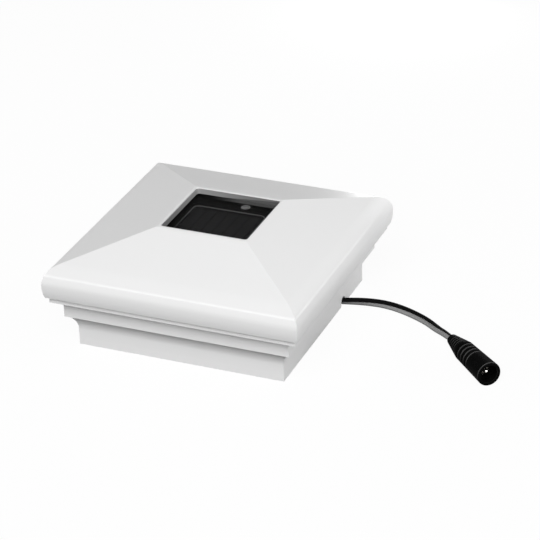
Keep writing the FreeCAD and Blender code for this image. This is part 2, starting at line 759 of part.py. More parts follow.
def make_light_diffuser():
    """Opal ring between rim and band, located by a rib in the collar's channel."""
    ring = mitred("lip_outside", [
        (lip_low_half, lip_low_z), (lip_top_half, lip_high_z)], lip_low_half + cut_reach)
    rib = square("lip_rib", band_half - band_wall - flat_gap, lip_low_z - lip_rib_deep,
                 lip_low_z + 1)
    hole = square("lip_hole", socket_outer + flat_gap, lip_low_z - lip_rib_deep - 1,
                  lip_high_z + 1)
    return cut("light_diffuser", join("lip_solid", ring, rib), hole)


def side_places():
    """Centre line of the four light strips: (axis along the strip, side)."""
    return [("x", 1), ("x", -1), ("y", 1), ("y", -1)]


def strip_block(name, along, side, start, finish, wide, low, high):
    near = rail_place * side - wide / 2
    far = rail_place * side + wide / 2
    spans = [(start, finish), (near, far)] if along == "x" else [(near, far), (start, finish)]
    return block(name, spans[0], spans[1], (low, high))


def make_led_boards():
    return group("led_boards", [
        strip_block("led_board_%d" % number, along, side, -strip_half_long, strip_half_long,
                    strip_wide, rail_low_z - strip_thick, rail_low_z)
        for number, (along, side) in enumerate(side_places())])


def make_leds():
    chips = []
    high = rail_low_z - strip_thick
    for number, (along, side) in enumerate(side_places()):
        for place in range(led_count):
            middle = (place - (led_count - 1) / 2) * led_pitch
            chips.append(strip_block("led_%d_%d" % (number, place), along, side,
                                     middle - led_long / 2, middle + led_long / 2,
                                     led_wide, high - led_tall, high))
    return group("leds", chips)


# ---------------------------------------------------------------- collar

def flange_opening(name, low, high):
    """The opening inside the flange, wider along X to clear the battery door's pad."""
    return block(name, (-flange_end_half, flange_end_half), (-flange_half, flange_half),
                 (low - 1, high + 1))


def lead_notch():
    """Arched notch in the skirt, cut along the line on which the lead passes it."""
    half = cord_radius + notch_gap
    long = (skirt_half + 2 - notch_x) / cosine(notch_heading)
    turn = FreeCAD.Rotation(Vector(0, 0, 1), notch_heading.number)
    slot = doc.addObject("Part::Box", "notch_slot")
    bind(slot, Length=long, Width=half * 2, Height=cord_radius + 1)
    put(slot, notch_x + half * sine(notch_heading), notch_y - half * cosine(notch_heading), -1, turn)
    arch = doc.addObject("Part::Cylinder", "notch_arch")
    bind(arch, Radius=half, Height=long)
    put(arch, notch_x, notch_y, cord_radius,
        turn.multiply(FreeCAD.Rotation(Vector(0, 1, 0), 90)))
    return [slot, arch]


def make_base_collar():
    """Skirt, cove and band round the post socket, with the flange that carries the cover."""
    outside = mitred("collar_outside", [
        (skirt_half, 0),
        (skirt_half, cove_low_z, cove_radius, -1),
        (band_half - band_ledge, band_low_z),
        (band_half, band_low_z),
        (band_half, lip_low_z),
        (socket_outer, lip_low_z),
        (socket_outer, flange_high_z)], band_half + cut_reach)
    socket = mitred("socket", [
        (socket_half + lead_in, -1),
        (socket_half + lead_in, 0),
        (socket_half, lead_in_high),
        (socket_half, flange_low_z)], band_half + cut_reach)
    channel = cut("band_channel",
                  square("channel_outer", band_half - band_wall, core_floor_z, lip_low_z + 1),
                  square("channel_inner", socket_outer, core_floor_z - 1, lip_low_z + 2))
    removals = [socket, channel, flange_opening("flange_hole", flange_low_z, flange_high_z)]
    for number, (x, y) in enumerate(four_corners(corner_screw_place, corner_screw_place)):
        removals.append(rod("flange_screw_hole_%d" % number, x, y, flange_low_z - 1,
                            flange_high_z + 1, corner_screw_radius + screw_gap))
    removals += lead_notch()
    shell = cut("collar_shell", outside, *removals)
    ribs = []
    for number, side in enumerate((1, -1)):
        for order, place in enumerate((-crush_rib_place, crush_rib_place)):
            inner = socket_half - crush_rib_deep
            outer = socket_half + 1
            wall_span = (inner, outer) if side > 0 else (-outer, -inner)
            rib_span = (place - crush_rib_wide / 2, place + crush_rib_wide / 2)
            heights = (crush_rib_low_z, stop_z - crush_rib_short)
            ribs.append(block("crush_rib_x%d%d" % (number, order), wall_span, rib_span, heights))
            ribs.append(block("crush_rib_y%d%d" % (number, order), rib_span, wall_span, heights))
    return join("base_collar", shell, *ribs)


# ---------------------------------------------------------------- cover and battery bay

def make_bottom_cover():
    """Underside plate with battery bay, board standoffs, switch slot and gland hole."""
    inner_long = bay_half_long
    inner_wide = bay_half_wide
    outer_long = bay_half_long + bay_wall
    outer_wide = bay_half_wide + bay_wall
    solids = [
        square_plate("cover_plate", cover_half, cover_corner, stop_z, cover_high_z),
        block("door_pad", (-pad_half_long, pad_half_long),
              (bay_y - pad_half_wide, bay_y + pad_half_wide),
              (cover_high_z - 1, cover_high_z + door_pad_tall)),
        block("bay_outside", (-outer_long, outer_long), (bay_y - outer_wide, bay_y + outer_wide),
              (cover_high_z - 1, bay_high_z))]
    for number, (x, y) in enumerate(board_holes()):
        solids.append(rod("standoff_%d" % number, x, y, cover_high_z - 1, board_low_z,
                          standoff_radius))
    rebate_long = door_half_long + flat_gap
    rebate_wide = door_half_wide + flat_gap
    removals = [
        block("door_rebate", (-rebate_long, rebate_long),
              (bay_y - rebate_wide, bay_y + rebate_wide),
              (stop_z - 1, door_high_z + door_seal_thick)),
        block("bay_inside", (-inner_long, inner_long), (bay_y - inner_wide, bay_y + inner_wide),
              (stop_z, bay_high_z - bay_wall)),
        block("finger_recess", (switch_x - finger_long / 2, switch_x + finger_long / 2),
              (switch_y - finger_wide / 2, switch_y + finger_wide / 2),
              (stop_z - 1, stop_z + finger_deep)),
        block("switch_slot",
              (switch_x - (stem_long + switch_travel) / 2 - stem_side_gap,
               switch_x + (stem_long + switch_travel) / 2 + stem_side_gap),
              (switch_y - stem_wide / 2 - stem_side_gap,
               switch_y + stem_wide / 2 + stem_side_gap),
              (stop_z - 1, cover_high_z + 1)),
        rod("gland_hole", gland_x, gland_y, stop_z - 1, cover_high_z + 1,
            gland_neck_radius + flat_gap / 2),
        rod("gland_counterbore", gland_x, gland_y, stop_z - 1,
            stop_z + head_sunk + gland_flange_thick, gland_flange_radius + flat_gap)]
    for number, (x, y) in enumerate(four_corners(corner_screw_place, corner_screw_place)):
        removals.append(rod("cover_screw_hole_%d" % number, x, y, stop_z - 1,
                            cover_high_z + 1, corner_screw_radius + screw_gap))
        removals.append(rod("cover_counterbore_%d" % number, x, y, stop_z - 1,
                            stop_z + head_sunk + corner_head_tall,
                            corner_head_radius + head_gap))
    for number, (x, y) in enumerate(board_holes()):
        removals.append(rod("standoff_pilot_%d" % number, x, y, cover_high_z,
                            board_low_z + 1, board_screw_radius + screw_gap))
    for number, side in enumerate((1, -1)):
        removals.append(rod("door_pilot_%d" % number, door_screw_x * side, bay_y,
                            stop_z, cover_high_z + door_pad_tall + 1,
                            door_screw_radius + screw_gap))
        removals.append(block("wire_exit_%d" % number,
                              (side * inner_long - 3, side * inner_long + 3),
                              (bay_y + inner_wide - 1, bay_y + outer_wide + 1),
                              (bay_high_z - bay_wall - 4, bay_high_z - bay_wall)))
    return cut("bottom_cover", join("cover_solid", *solids), *removals)


def make_cover_gasket():
    ring = square("cover_gasket_plate", cover_half, cover_high_z, flange_low_z)
    hole = flange_opening("cover_gasket_hole", cover_high_z, flange_low_z)
    holes = [rod("cover_gasket_screw_%d" % number, x, y, cover_high_z - 1, flange_low_z + 1,
                 corner_screw_radius + screw_gap)
             for number, (x, y) in enumerate(four_corners(corner_screw_place,
                                                          corner_screw_place))]
    return cut("cover_gasket", ring, hole, *holes)


def make_cover_screws():
    return group("cover_screws", [
        screw("cover_screw_%d" % number, x, y, stop_z + head_sunk, corner_screw_radius,
              corner_head_radius, corner_head_tall, corner_screw_long)
        for number, (x, y) in enumerate(four_corners(corner_screw_place, corner_screw_place))])


def make_battery_door():
    door = plate("door_plate", -door_half_long, door_half_long, bay_y - door_half_wide,
                 bay_y + door_half_wide, door_corner, stop_z, door_high_z)
    removals = []
    for number, side in enumerate((1, -1)):
        removals.append(rod("door_hole_%d" % number, door_screw_x * side, bay_y, stop_z - 1,
                            door_high_z + 1, door_screw_radius + screw_gap))
        removals.append(rod("door_counterbore_%d" % number, door_screw_x * side, bay_y,
                            stop_z - 1, stop_z + head_sunk + door_head_tall,
                            door_head_radius + head_gap / 2))
    for number in range(door_grip_count):
        middle = door_grip_pitch * (number - (door_grip_count - 1) / 2)
        removals.append(block("door_grip_%d" % number,
                              (middle - door_grip_wide / 2, middle + door_grip_wide / 2),
                              (bay_y - door_grip_long / 2, bay_y + door_grip_long / 2),
                              (stop_z - 1, stop_z + door_grip_deep)))
    return cut("battery_door", door, *removals)


def make_battery_door_seal():
    low = door_high_z
    high = door_high_z + door_seal_thick
    ring = block("door_seal_plate", (-door_half_long, door_half_long),
                 (bay_y - door_half_wide, bay_y + door_half_wide), (low, high))
    hole = block("door_seal_hole", (-bay_half_long, bay_half_long),
                 (bay_y - bay_half_wide, bay_y + bay_half_wide), (low - 1, high + 1))
    holes = [rod("door_seal_screw_%d" % number, door_screw_x * side, bay_y, low - 1, high + 1,
                 door_screw_radius + screw_gap) for number, side in enumerate((1, -1))]
    return cut("battery_door_seal", ring, hole, *holes)


def make_door_screws():
    return group("door_screws", [
        screw("door_screw_%d" % number, door_screw_x * side, bay_y, stop_z + head_sunk,
              door_screw_radius, door_head_radius, door_head_tall, door_screw_long)
        for number, side in enumerate((1, -1))])


def lying_cylinder(name, x, radius, long):
    """A cylinder along +X on the battery's axis."""
    cylinder = doc.addObject("Part::Cylinder", name)
    bind(cylinder, Radius=radius, Height=long)
    return put(cylinder, x, bay_y, cell_z, FreeCAD.Rotation(Vector(0, 1, 0), 90))


def cell_start():
    return bay_half_long - contact_thick - contact_gap - button_tall - cell_long


def make_battery_cell():
    can = lying_cylinder("cell_can", cell_start(), cell_radius, cell_long)
    button = lying_cylinder("cell_button", cell_start() + cell_long - 0.1, button_radius,
                            button_tall + 0.1)
    return join("battery_cell", can, button)


def make_battery_contact_plus():
    return block("battery_contact_plus",
                 (bay_half_long - contact_thick, bay_half_long),
                 (bay_y - contact_half, bay_y + contact_half),
                 (cell_z - contact_tall / 2, cell_z + contact_tall / 2))


def make_battery_contact_minus():
    """Leaf spring that bows from the end wall towards the cell."""
    space = leaf_space - contact_gap
    half = contact_tall / 2
    bow = (half * half + (space - contact_thick) * (space - contact_thick)) / (
        2 * (space - contact_thick))
    sketch = free_sketch("leaf_outline", UPRIGHT)
    west = -bay_half_long
    draw_outline(sketch, [
        (west, cell_z - half), (west + contact_thick, cell_z - half, bow, 1),
        (west + contact_thick, cell_z + half), (west, cell_z + half, bow, -1)])
    sketch.setExpression("Placement.Base.y", (bay_y + contact_half).formula)
    return extrude("battery_contact_minus", sketch, Vector(0, -1, 0), 2 * contact_half)


# ---------------------------------------------------------------- control board

def board_holes():
    return [(x, y) for x in (board_west + board_hole_inset, board_east - board_hole_inset)
            for y in (board_south + board_hole_inset, board_north - board_hole_inset)]


def make_control_board():
    board = block("board_blank", (board_west, board_east), (board_south, board_north),
                  (board_low_z, board_high_z))
    holes = [rod("board_hole_%d" % number, x, y, board_low_z - 1, board_high_z + 1,
                 board_screw_radius + screw_gap) for number, (x, y) in enumerate(board_holes())]
    return cut("control_board", board, *holes)


def make_board_parts():
    """Chip, inductor, capacitor and the three wire sockets, standing on the board."""
    middle_x = (board_west + board_east) / 2
    middle_y = (board_south + board_north) / 2
    block("board_chip", (middle_x - chip_long / 2, middle_x + chip_long / 2),
          (middle_y - chip_wide / 2, middle_y + chip_wide / 2),
          (board_high_z, board_high_z + chip_tall))
    coil_x = middle_x - coil_out
    coil_high_z = board_high_z + coil_tall
    join("board_inductor",
         rod("coil_low", coil_x, middle_y, board_high_z, board_high_z + coil_flange, coil_radius),
         rod("coil_core", coil_x, middle_y, board_high_z, coil_high_z, coil_core_radius),
         rod("coil_high", coil_x, middle_y, coil_high_z - coil_flange, coil_high_z, coil_radius))
    rod("board_capacitor", middle_x + capacitor_out, middle_y, board_high_z,
        board_high_z + capacitor_tall, capacitor_radius)
    sockets = []
    south = board_south + wire_socket_inset
    for number in range(wire_socket_count):
        x = middle_x + wire_socket_pitch * (number - (wire_socket_count - 1) / 2)
        outside = block("socket_out_%d" % number,
                        (x - wire_socket_wide / 2, x + wire_socket_wide / 2),
                        (south, south + wire_socket_deep),
                        (board_high_z, board_high_z + wire_socket_tall))
        inner_half = wire_socket_wide / 2 - wire_socket_wall
        inside = block("socket_in_%d" % number, (x - inner_half, x + inner_half),
                       (south - 1, south + wire_socket_deep - wire_socket_wall),
                       (board_high_z + wire_socket_wall,
                        board_high_z + wire_socket_tall - wire_socket_wall))
        sockets.append(cut("wire_socket_%d" % number, outside, inside))
    group("wire_sockets", sockets)


def make_board_screws():
    """Screws driven down through the board into the standoffs."""
    screws = []
    for number, (x, y) in enumerate(board_holes()):
        head = rod("board_screw_%d_head" % number, x, y, board_high_z,
                   board_high_z + board_head_tall, board_head_radius)
        shank = rod("board_screw_%d_shank" % number, x, y, board_high_z - board_screw_long,
                    board_high_z, board_screw_radius)
        screws.append(join("board_screw_%d" % number, head, shank))
    return group("board_screws", screws)


# ---------------------------------------------------------------- power switch

def make_switch_body():
    """Housing over the slot, open below, with three solder tabs above."""
    inner_long = slider_long + switch_travel + 2 * stem_side_gap
    inner_wide = slider_wide + 2 * stem_side_gap
    inner_tall = slider_tall + 2 * stem_side_gap
    outer_long = inner_long + 2 * switch_wall
    outer_wide = inner_wide + 2 * switch_wall
    outside = block("switch_outside", (switch_x - outer_long / 2, switch_x + outer_long / 2),
                    (switch_y - outer_wide / 2, switch_y + outer_wide / 2),
                    (cover_high_z, cover_high_z + inner_tall + switch_wall))
    inside = block("switch_inside", (switch_x - inner_long / 2, switch_x + inner_long / 2),
                   (switch_y - inner_wide / 2, switch_y + inner_wide / 2),
                   (cover_high_z - 1, cover_high_z + inner_tall))
    roof_z = cover_high_z + inner_tall + switch_wall
    tabs = [block("switch_tab_%d" % number,
                  (switch_x + tab_pitch * place - tab_wide / 2,
                   switch_x + tab_pitch * place + tab_wide / 2),
                  (switch_y - tab_thick / 2, switch_y + tab_thick / 2),
                  (roof_z - switch_wall / 3, roof_z + tab_long))
            for number, place in enumerate((-1, 0, 1))]
    return join("switch_body", cut("switch_housing", outside, inside), *tabs)


def make_switch_slider():
    """Actuator at the off end of its travel: a block in the housing with a stem below."""
    west = switch_x - switch_travel / 2
    foot = block("slider_block", (west - slider_long / 2, west + slider_long / 2),
                 (switch_y - slider_wide / 2, switch_y + slider_wide / 2),
                 (cover_high_z + stem_side_gap, cover_high_z + stem_side_gap + slider_tall))
    stem = block("slider_stem", (west - stem_long / 2, west + stem_long / 2),
                 (switch_y - stem_wide / 2, switch_y + stem_wide / 2),
                 (stem_tip_z, cover_high_z + stem_side_gap + 0.2))
    return join("switch_slider", foot, stem)


# ---------------------------------------------------------------- gland, lead, connector

def gland_low_z():
    return stop_z - gland_nose_long


def make_cord_gland():
    """Flanged bush sunk in the cover, its nut above and a nose below that holds the lead."""
    flange_low = stop_z + head_sunk
    nut_high = cover_high_z + gland_nut_tall
    return join("cord_gland",
                rod("gland_nose", gland_x, gland_y, gland_low_z(), flange_low, gland_nose_radius),
                rod("gland_flange", gland_x, gland_y, flange_low, flange_low + gland_flange_thick,
                    gland_flange_radius),
                rod("gland_neck", gland_x, gland_y, flange_low, nut_high + gland_end,
                    gland_neck_radius),
                rod("gland_nut", gland_x, gland_y, cover_high_z, nut_high, gland_flange_radius))


def tube_along(name, route, radius):
    """A round tube: straight runs joined by tangent arcs."""
    points = [Vector(*[as_size(c).number for c in spot]) for spot in route]
    edges = []
    last = points[0]
    radii = []
    for before, corner, after in zip(points, points[1:], points[2:]):
        inward = (corner - before).normalize()
        outward = (after - corner).normalize()
        shorter = min((corner - before).Length, (after - corner).Length)
        setback = 0.45 * shorter
        half_turn = inward.getAngle(outward) / 2
        bend = setback / math.tan(half_turn)
        radii.append(round(bend, 1))
        start = corner - inward * setback
        finish = corner + outward * setback
        depth = bend / math.cos(half_turn) - bend
        middle = corner + (outward - inward).normalize() * depth
        edges.append(Part.LineSegment(last, start).toShape())
        edges.append(Part.Arc(start, middle, finish).toShape())
        last = finish
    edges.append(Part.LineSegment(last, points[-1]).toShape())
    path = Part.Wire(edges)
    section = Part.Wire(Part.Circle(points[0], points[1] - points[0], radius.number).toShape())
    tube = path.makePipeShell([section], True, False)
    expected = math.pi * radius.number ** 2 * path.Length
    print("%s: length %.1f, radii %s" % (name, path.Length, radii))
    print("%s: volume %.1f, section times length %.1f" % (name, tube.Volume, expected))
    return tube


# Hand-chosen route of the lead from the gland to the connector, lying on the floor.
FLOOR = cord_radius
LEAD_ROUTE = [
    (gland_x, gland_y, gland_low_z()),
    (gland_x, gland_y, 14.1),
    (17.6, 11.1, 6.6),
    (24.5, 14.0, FLOOR),
    (34.3, 18.9, FLOOR),
    (notch_x, notch_y, FLOOR),
    (55.6, 26.9, FLOOR),
    (66.7, 30.2, FLOOR),
    (78.7, 30.6, FLOOR),
    (90.6, 26.9, FLOOR),
    (101.8, 21.1, 2.4),
    (110.4, 13.3, 3.2),
    (116.0, 8.4, 4.4),
    (121.3, 3.6, plug_tail_z)]
PLUG_MOUTH = (149.6, -25.0)


def make_output_lead():
    """Round envelope of the twin lead."""
    lead = doc.addObject("Part::Feature", "output_lead")
    lead.Shape = tube_along("output_lead", LEAD_ROUTE, cord_radius)
    return lead


def plug_placement():
    """Local +X runs from the tail of the connector to its mouth."""
    tail = [as_size(c).number for c in LEAD_ROUTE[-1]]
    heading = math.degrees(math.atan2(PLUG_MOUTH[1] - tail[1], PLUG_MOUTH[0] - tail[0]))
    lift = math.degrees(math.atan(flare_slope.number))
    turn = FreeCAD.Rotation(Vector(0, 0, 1), heading)
    return FreeCAD.Placement(Vector(*tail),
                             turn.multiply(FreeCAD.Rotation(Vector(0, 1, 0), -lift)))


def body_plane(body, role):
    for plane in body.Origin.OriginFeatures:
        if plane.Role == role:
            return plane
    raise RuntimeError("no plane " + role)


def body_sketch(body, name, role):
    sketch = body.newObject("Sketcher::SketchObject", name)
    sketch.AttachmentSupport = [(body_plane(body, role), "")]
    sketch.MapMode = "FlatFace"
    return sketch


def turned_body(label, outline):
    """A PartDesign body revolved about its own X axis from an outline in its XZ plane."""
    body = doc.addObject("PartDesign::Body", label)
    sketch = body_sketch(body, label + "_outline", "XZ_Plane")
    draw_outline(sketch, outline)
    turn = body.newObject("PartDesign::Revolution", label + "_turn")
    turn.Profile = sketch
    turn.ReferenceAxis = (sketch, ["H_Axis"])
    turn.Angle = 360
    body.Tip = turn
    return body


def grooves(body, name, count, start, pitch, wide, deep, surface, slope, open_wide):
    """Turned grooves along a cone: the floor is a line, or a point where open_wide is larger."""
    for number in range(count):
        place = start + pitch * number
        level_here = surface + slope * (place - start)
        floor = level_here - deep
        top = level_here + deep
        outline = [(place + wide / 2, floor), (place + open_wide / 2, top),
                   (place - open_wide / 2, top), (place - wide / 2, floor)]
        sketch = body_sketch(body, "%s_%d_outline" % (name, number), "XZ_Plane")
        draw_outline(sketch, outline)
        groove = body.newObject("PartDesign::Groove", "%s_%d" % (name, number))
        groove.Profile = sketch
        groove.ReferenceAxis = (sketch, ["H_Axis"])
        groove.Angle = 360
        body.Tip = groove


def make_connector_boot():
    """Moulded jack body: blunt tail, cone, flared barrel with grip grooves, stepped mouth."""
    body = turned_body("connector_boot", [
        (0, 0), (plug_long - bore_deep - mouth_deep, 0),
        (plug_long - bore_deep - mouth_deep, bore_radius),
        (plug_long - mouth_deep, bore_radius),
        (plug_long - mouth_deep, mouth_radius),
        (plug_long, mouth_radius),
        (plug_long, mouth_out - plug_rim_radius, plug_rim_radius, 1),
        (plug_long - plug_rim_radius, mouth_out),
        (plug_cone_long, plug_radius),
        (0, plug_tail_radius)])
    grooves(body, "tail_groove", fine_groove_count, fine_groove_start, fine_groove_pitch,
            fine_groove_wide / 4, fine_groove_deep,
            plug_tail_radius + tail_slope * fine_groove_start, tail_slope, fine_groove_wide)
    grooves(body, "grip_groove", grip_groove_count, grip_groove_start, grip_groove_pitch,
            grip_groove_wide / 2, grip_groove_deep,
            plug_radius + flare_slope * grip_groove_past, flare_slope, grip_groove_wide)
    body.Placement = plug_placement()
    return body


def make_connector_sleeve():
    """Spring barrel that grips the mating plug."""
    back = plug_long - mouth_deep - bore_deep + sleeve_back
    front = plug_long - mouth_deep - sleeve_front
    outer = bore_radius - flat_gap / 6
    body = turned_body("connector_sleeve", [
        (back, outer - sleeve_wall), (front, outer - sleeve_wall), (front, outer), (back, outer)])
    body.Placement = plug_placement()
    return body


def make_connector_pin():
    """Centre pin with a rounded tip, standing on the floor of the bore."""
    back = plug_long - mouth_deep - bore_deep
    tip = plug_long - pin_sunk
    body = turned_body("connector_pin", [
        (back, 0), (tip, 0, pin_radius, 1), (tip - pin_radius, pin_radius),
        (back + pin_root_long, pin_radius), (back + pin_root_long, pin_root_radius),
        (back, pin_root_radius)])
    body.Placement = plug_placement()
    return body


# ---------------------------------------------------------------- hook-up wires

def into_socket(number, side):
    """Last two points of a wire that ends in one of the board's sockets."""
    x = ((board_west + board_east) / 2 + wire_socket_pitch * (number - (wire_socket_count - 1) / 2)
         + wire_apart * side)
    return [(x, wire_bend_y - wire_apart * side, wire_z), (x, wire_end_y, wire_z)]


def make_wires(name, routes):
    wires = doc.addObject("Part::Feature", name)
    wires.Shape = Part.makeCompound([tube_along(name, route, wire_radius) for route in routes])
    return wires


def make_panel_leads():
    """Pair from the panel's underside, down through the tray, to the third socket."""
    under = tray_high_z - panel_sunk - panel_thick
    return make_wires("panel_leads", [
        [(wire_apart * side - 6.0, -1.0, under), (wire_apart * side - 6.0, -1.0, 41.0)]
        + into_socket(2, side) for side in (-1, 1)])


def make_lamp_leads():
    """Pair from the west strip to the first socket, and links between strips at three corners."""
    strip_z = rail_low_z - strip_thick / 2
    edge = strip_wide / 2 - rail_place
    routes = []
    for side in (-1, 1):
        y = wire_bend_y - wire_apart * side
        routes.append([(edge, y, strip_z), (-38.0, y, strip_z)] + into_socket(0, side))
    for east, north in ((1, 1), (-1, 1), (1, -1)):
        routes.append([(strip_half_long * east, rail_place * north, strip_z),
                       (rail_place * east, rail_place * north, strip_z),
                       (rail_place * east, strip_half_long * north, strip_z)])
    return make_wires("lamp_leads", routes)


def make_battery_leads():
    """One wire from each battery contact, out of the bay and along it to the middle socket."""
    start_y = bay_y + contact_half
    start_z = cell_z + contact_tall / 2 - wire_radius
    out_z = bay_high_z - bay_wall - 2.1
    out_x = bay_half_long - wire_radius - 0.1
    routes = []
    for side, along in ((-1, [(-24.0, -6.4, 38.8)]), (1, [(24.0, -6.6, 41.0), (-12.0, -6.6, 39.0)])):
        x = out_x * side
        y = along[0][1]
        routes.append([(x, start_y, start_z), (x, start_y + 2.4, start_z),
                       (x, start_y + 4.6, out_z), (x, y, out_z)] + along + into_socket(1, side))
    return make_wires("battery_leads", routes)


# ---------------------------------------------------------------- build, check, write

make_roof_shell()
make_window_gasket()
make_window_lens()
make_panel_tray()
make_solar_panel()
make_photocell()
make_tray_screws()
make_light_diffuser()
make_led_boards()
make_leds()
make_base_collar()
make_bottom_cover()
make_cover_gasket()
make_cover_screws()
make_battery_door()
make_battery_door_seal()
make_door_screws()
make_battery_cell()
make_battery_contact_plus()
make_battery_contact_minus()
make_control_board()
make_board_parts()
make_board_screws()
make_switch_body()
make_switch_slider()
make_cord_gland()
make_output_lead()
make_connector_boot()
make_connector_sleeve()
make_connector_pin()
make_panel_leads()
make_lamp_leads()
make_battery_leads()

NODES = [
    "roof_shell", "window_gasket", "window_lens", "panel_tray", "solar_panel", "photocell",
    "tray_screws", "light_diffuser", "led_boards", "leds", "base_collar", "bottom_cover",
    "cover_gasket", "cover_screws", "battery_door", "battery_door_seal", "door_screws",
    "battery_cell", "battery_contact_plus", "battery_contact_minus", "control_board",
    "board_chip", "board_inductor", "board_capacitor", "wire_sockets", "board_screws",
    "switch_body", "switch_slider", "cord_gland", "output_lead", "connector_boot",
    "connector_sleeve", "connector_pin", "panel_leads", "lamp_leads", "battery_leads"]

doc.recompute()
for thing in doc.Objects:
    if "Invalid" in thing.State or "Error" in thing.State:
        raise RuntimeError("%s failed: %s" % (thing.Name, thing.State))
os.makedirs("parts", exist_ok=True)
for name in NODES:
    shape = doc.getObject(name).Shape
    if shape.isNull() or not shape.isValid() or not shape.Solids:
        raise RuntimeError("%s has no valid solid" % name)
    shape.exportStep("parts/%s.step" % name)
    print("%s: %d solid(s), %.0f mm3" % (name, len(shape.Solids), shape.Volume))
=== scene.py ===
import json
import math

import bmesh
import bpy
from mathutils import Matrix, Vector


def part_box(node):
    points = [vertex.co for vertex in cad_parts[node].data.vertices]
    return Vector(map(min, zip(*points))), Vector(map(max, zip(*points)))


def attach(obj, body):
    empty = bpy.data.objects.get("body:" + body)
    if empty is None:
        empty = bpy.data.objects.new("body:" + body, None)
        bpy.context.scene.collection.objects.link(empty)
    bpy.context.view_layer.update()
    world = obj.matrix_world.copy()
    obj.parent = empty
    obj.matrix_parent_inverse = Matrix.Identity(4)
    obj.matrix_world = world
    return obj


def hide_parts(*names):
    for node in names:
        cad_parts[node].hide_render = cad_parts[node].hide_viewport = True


# A white post cap light on a pale table: the CAD parts get their finishes here, the
# lead becomes a real twin cord, and the small hardware gets the form it has in the hand.

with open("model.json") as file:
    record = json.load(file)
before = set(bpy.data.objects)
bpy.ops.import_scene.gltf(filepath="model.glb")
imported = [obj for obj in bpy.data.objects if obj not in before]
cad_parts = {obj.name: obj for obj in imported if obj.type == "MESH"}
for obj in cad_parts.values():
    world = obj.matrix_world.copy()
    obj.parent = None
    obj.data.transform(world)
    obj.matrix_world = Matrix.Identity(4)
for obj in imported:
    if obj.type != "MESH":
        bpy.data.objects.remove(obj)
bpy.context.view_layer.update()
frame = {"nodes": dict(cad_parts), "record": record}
parts = frame["nodes"]
scene = bpy.context.scene
scene.view_settings.view_transform = "Standard"
MM = 0.001


# ---------------------------------------------------------------- nodes

def add_node(tree, kind, settings, sockets):
    """Add a node; a socket's value is a number, a colour or the output that feeds it."""
    made = tree.nodes.new(kind)
    for name, value in settings.items():
        setattr(made, name, value)
    for name, value in sockets.items():
        value = getattr(value, "socket", value)
        if isinstance(value, bpy.types.NodeSocket):
            tree.links.new(value, made.inputs[name])
        else:
            made.inputs[name].default_value = value
    return made


class Shade:
    """A number that changes over a surface. Arithmetic on it adds Math nodes."""

    def __init__(self, paint, socket):
        self.paint = paint
        self.socket = socket

    def maths(self, operation, *values):
        return self.paint.number("ShaderNodeMath", {"operation": operation},
                                 dict(enumerate(values)))

    def __add__(self, other):
        return self.maths("ADD", self, other)

    def __sub__(self, other):
        return self.maths("SUBTRACT", self, other)

    def __mul__(self, other):
        return self.maths("MULTIPLY", self, other)

    def __truediv__(self, other):
        return self.maths("DIVIDE", self, other)

    def __radd__(self, other):
        return self.maths("ADD", other, self)

    def __rsub__(self, other):
        return self.maths("SUBTRACT", other, self)

    def __lt__(self, other):
        return self.maths("LESS_THAN", self, other)

    def __gt__(self, other):
        return self.maths("GREATER_THAN", self, other)

    def __mod__(self, other):
        return self.maths("FLOORED_MODULO", self, other)

    def __abs__(self):
        return self.maths("ABSOLUTE", self)

    def within(self, low, high):
        """Held between two numbers."""
        return self.maths("MAXIMUM", self.maths("MINIMUM", self, high), low)

    def clear_of(self, level, soft):
        """0 below the level, 1 above it, with a soft step."""
        return self.paint.number("ShaderNodeMapRange", {"interpolation_type": "SMOOTHSTEP"},
                                 {"Value": self, "From Min": level - soft,
                                  "From Max": level + soft})


class Paint:
    """One finish: its nodes, and the Principled shader that they feed."""

    def __init__(self, name, constants):
        self.material = bpy.data.materials.new(name)
        self.material.use_nodes = True
        self.tree = self.material.node_tree
        self.tree.nodes.clear()
        self.surface = self.node("ShaderNodeBsdfPrincipled", {}, constants)
        self.output = self.node("ShaderNodeOutputMaterial", {},
                                {"Surface": self.surface.outputs["BSDF"]})
        self.place = self.node("ShaderNodeTexCoord", {}, {}).outputs["Object"]

    def node(self, kind, settings, sockets):
        return add_node(self.tree, kind, settings, sockets)

    def number(self, kind, settings, sockets, output=0):
        """Add a node whose output is used as a number."""
        return Shade(self, self.node(kind, settings, sockets).outputs[output])

    def grain(self, scale, detail, place=None):
        """Cloudy noise with about `scale` cells per metre, around 0.5."""
        return self.number("ShaderNodeTexNoise", {}, {
            "Vector": place or self.place, "Scale": scale, "Detail": detail})

    def cells(self, scale, feature="F1"):
        """Cell pattern with about `scale` cells per metre."""
        return self.number("ShaderNodeTexVoronoi", {"feature": feature},
                           {"Vector": self.place, "Scale": scale})

    def axes(self, place=None):
        """The three coordinates, in metres unless a place is given."""
        split = self.node("ShaderNodeSeparateXYZ", {}, {"Vector": place or self.place})
        return [Shade(self, socket) for socket in split.outputs]

    def stretched(self, scale):
        """Coordinates stretched by three factors."""
        return self.node("ShaderNodeMapping", {}, {
            "Vector": self.place, "Scale": scale}).outputs["Vector"]

    def blend(self, amount, first, second):
        """A colour between two colours."""
        mix = self.node("ShaderNodeMix", {"data_type": "RGBA"}, {0: amount, 6: first, 7: second})
        return mix.outputs[2]

    def set(self, **sockets):
        """Link values into the shader's sockets: Base_Color is its Base Color."""
        for name, value in sockets.items():
            value = getattr(value, "socket", value)
            self.tree.links.new(value, self.surface.inputs[name.replace("_", " ")])

    def bump(self, height, depth, strength=1.0, over=None):
        """Raise the surface by up to `depth` metres where height is 1, over another bump."""
        sockets = {"Height": height, "Distance": depth, "Strength": strength}
        if over is not None:
            sockets["Normal"] = over
        made = self.node("ShaderNodeBump", {}, sockets)
        self.set(Normal=made.outputs["Normal"])
        return made.outputs["Normal"]


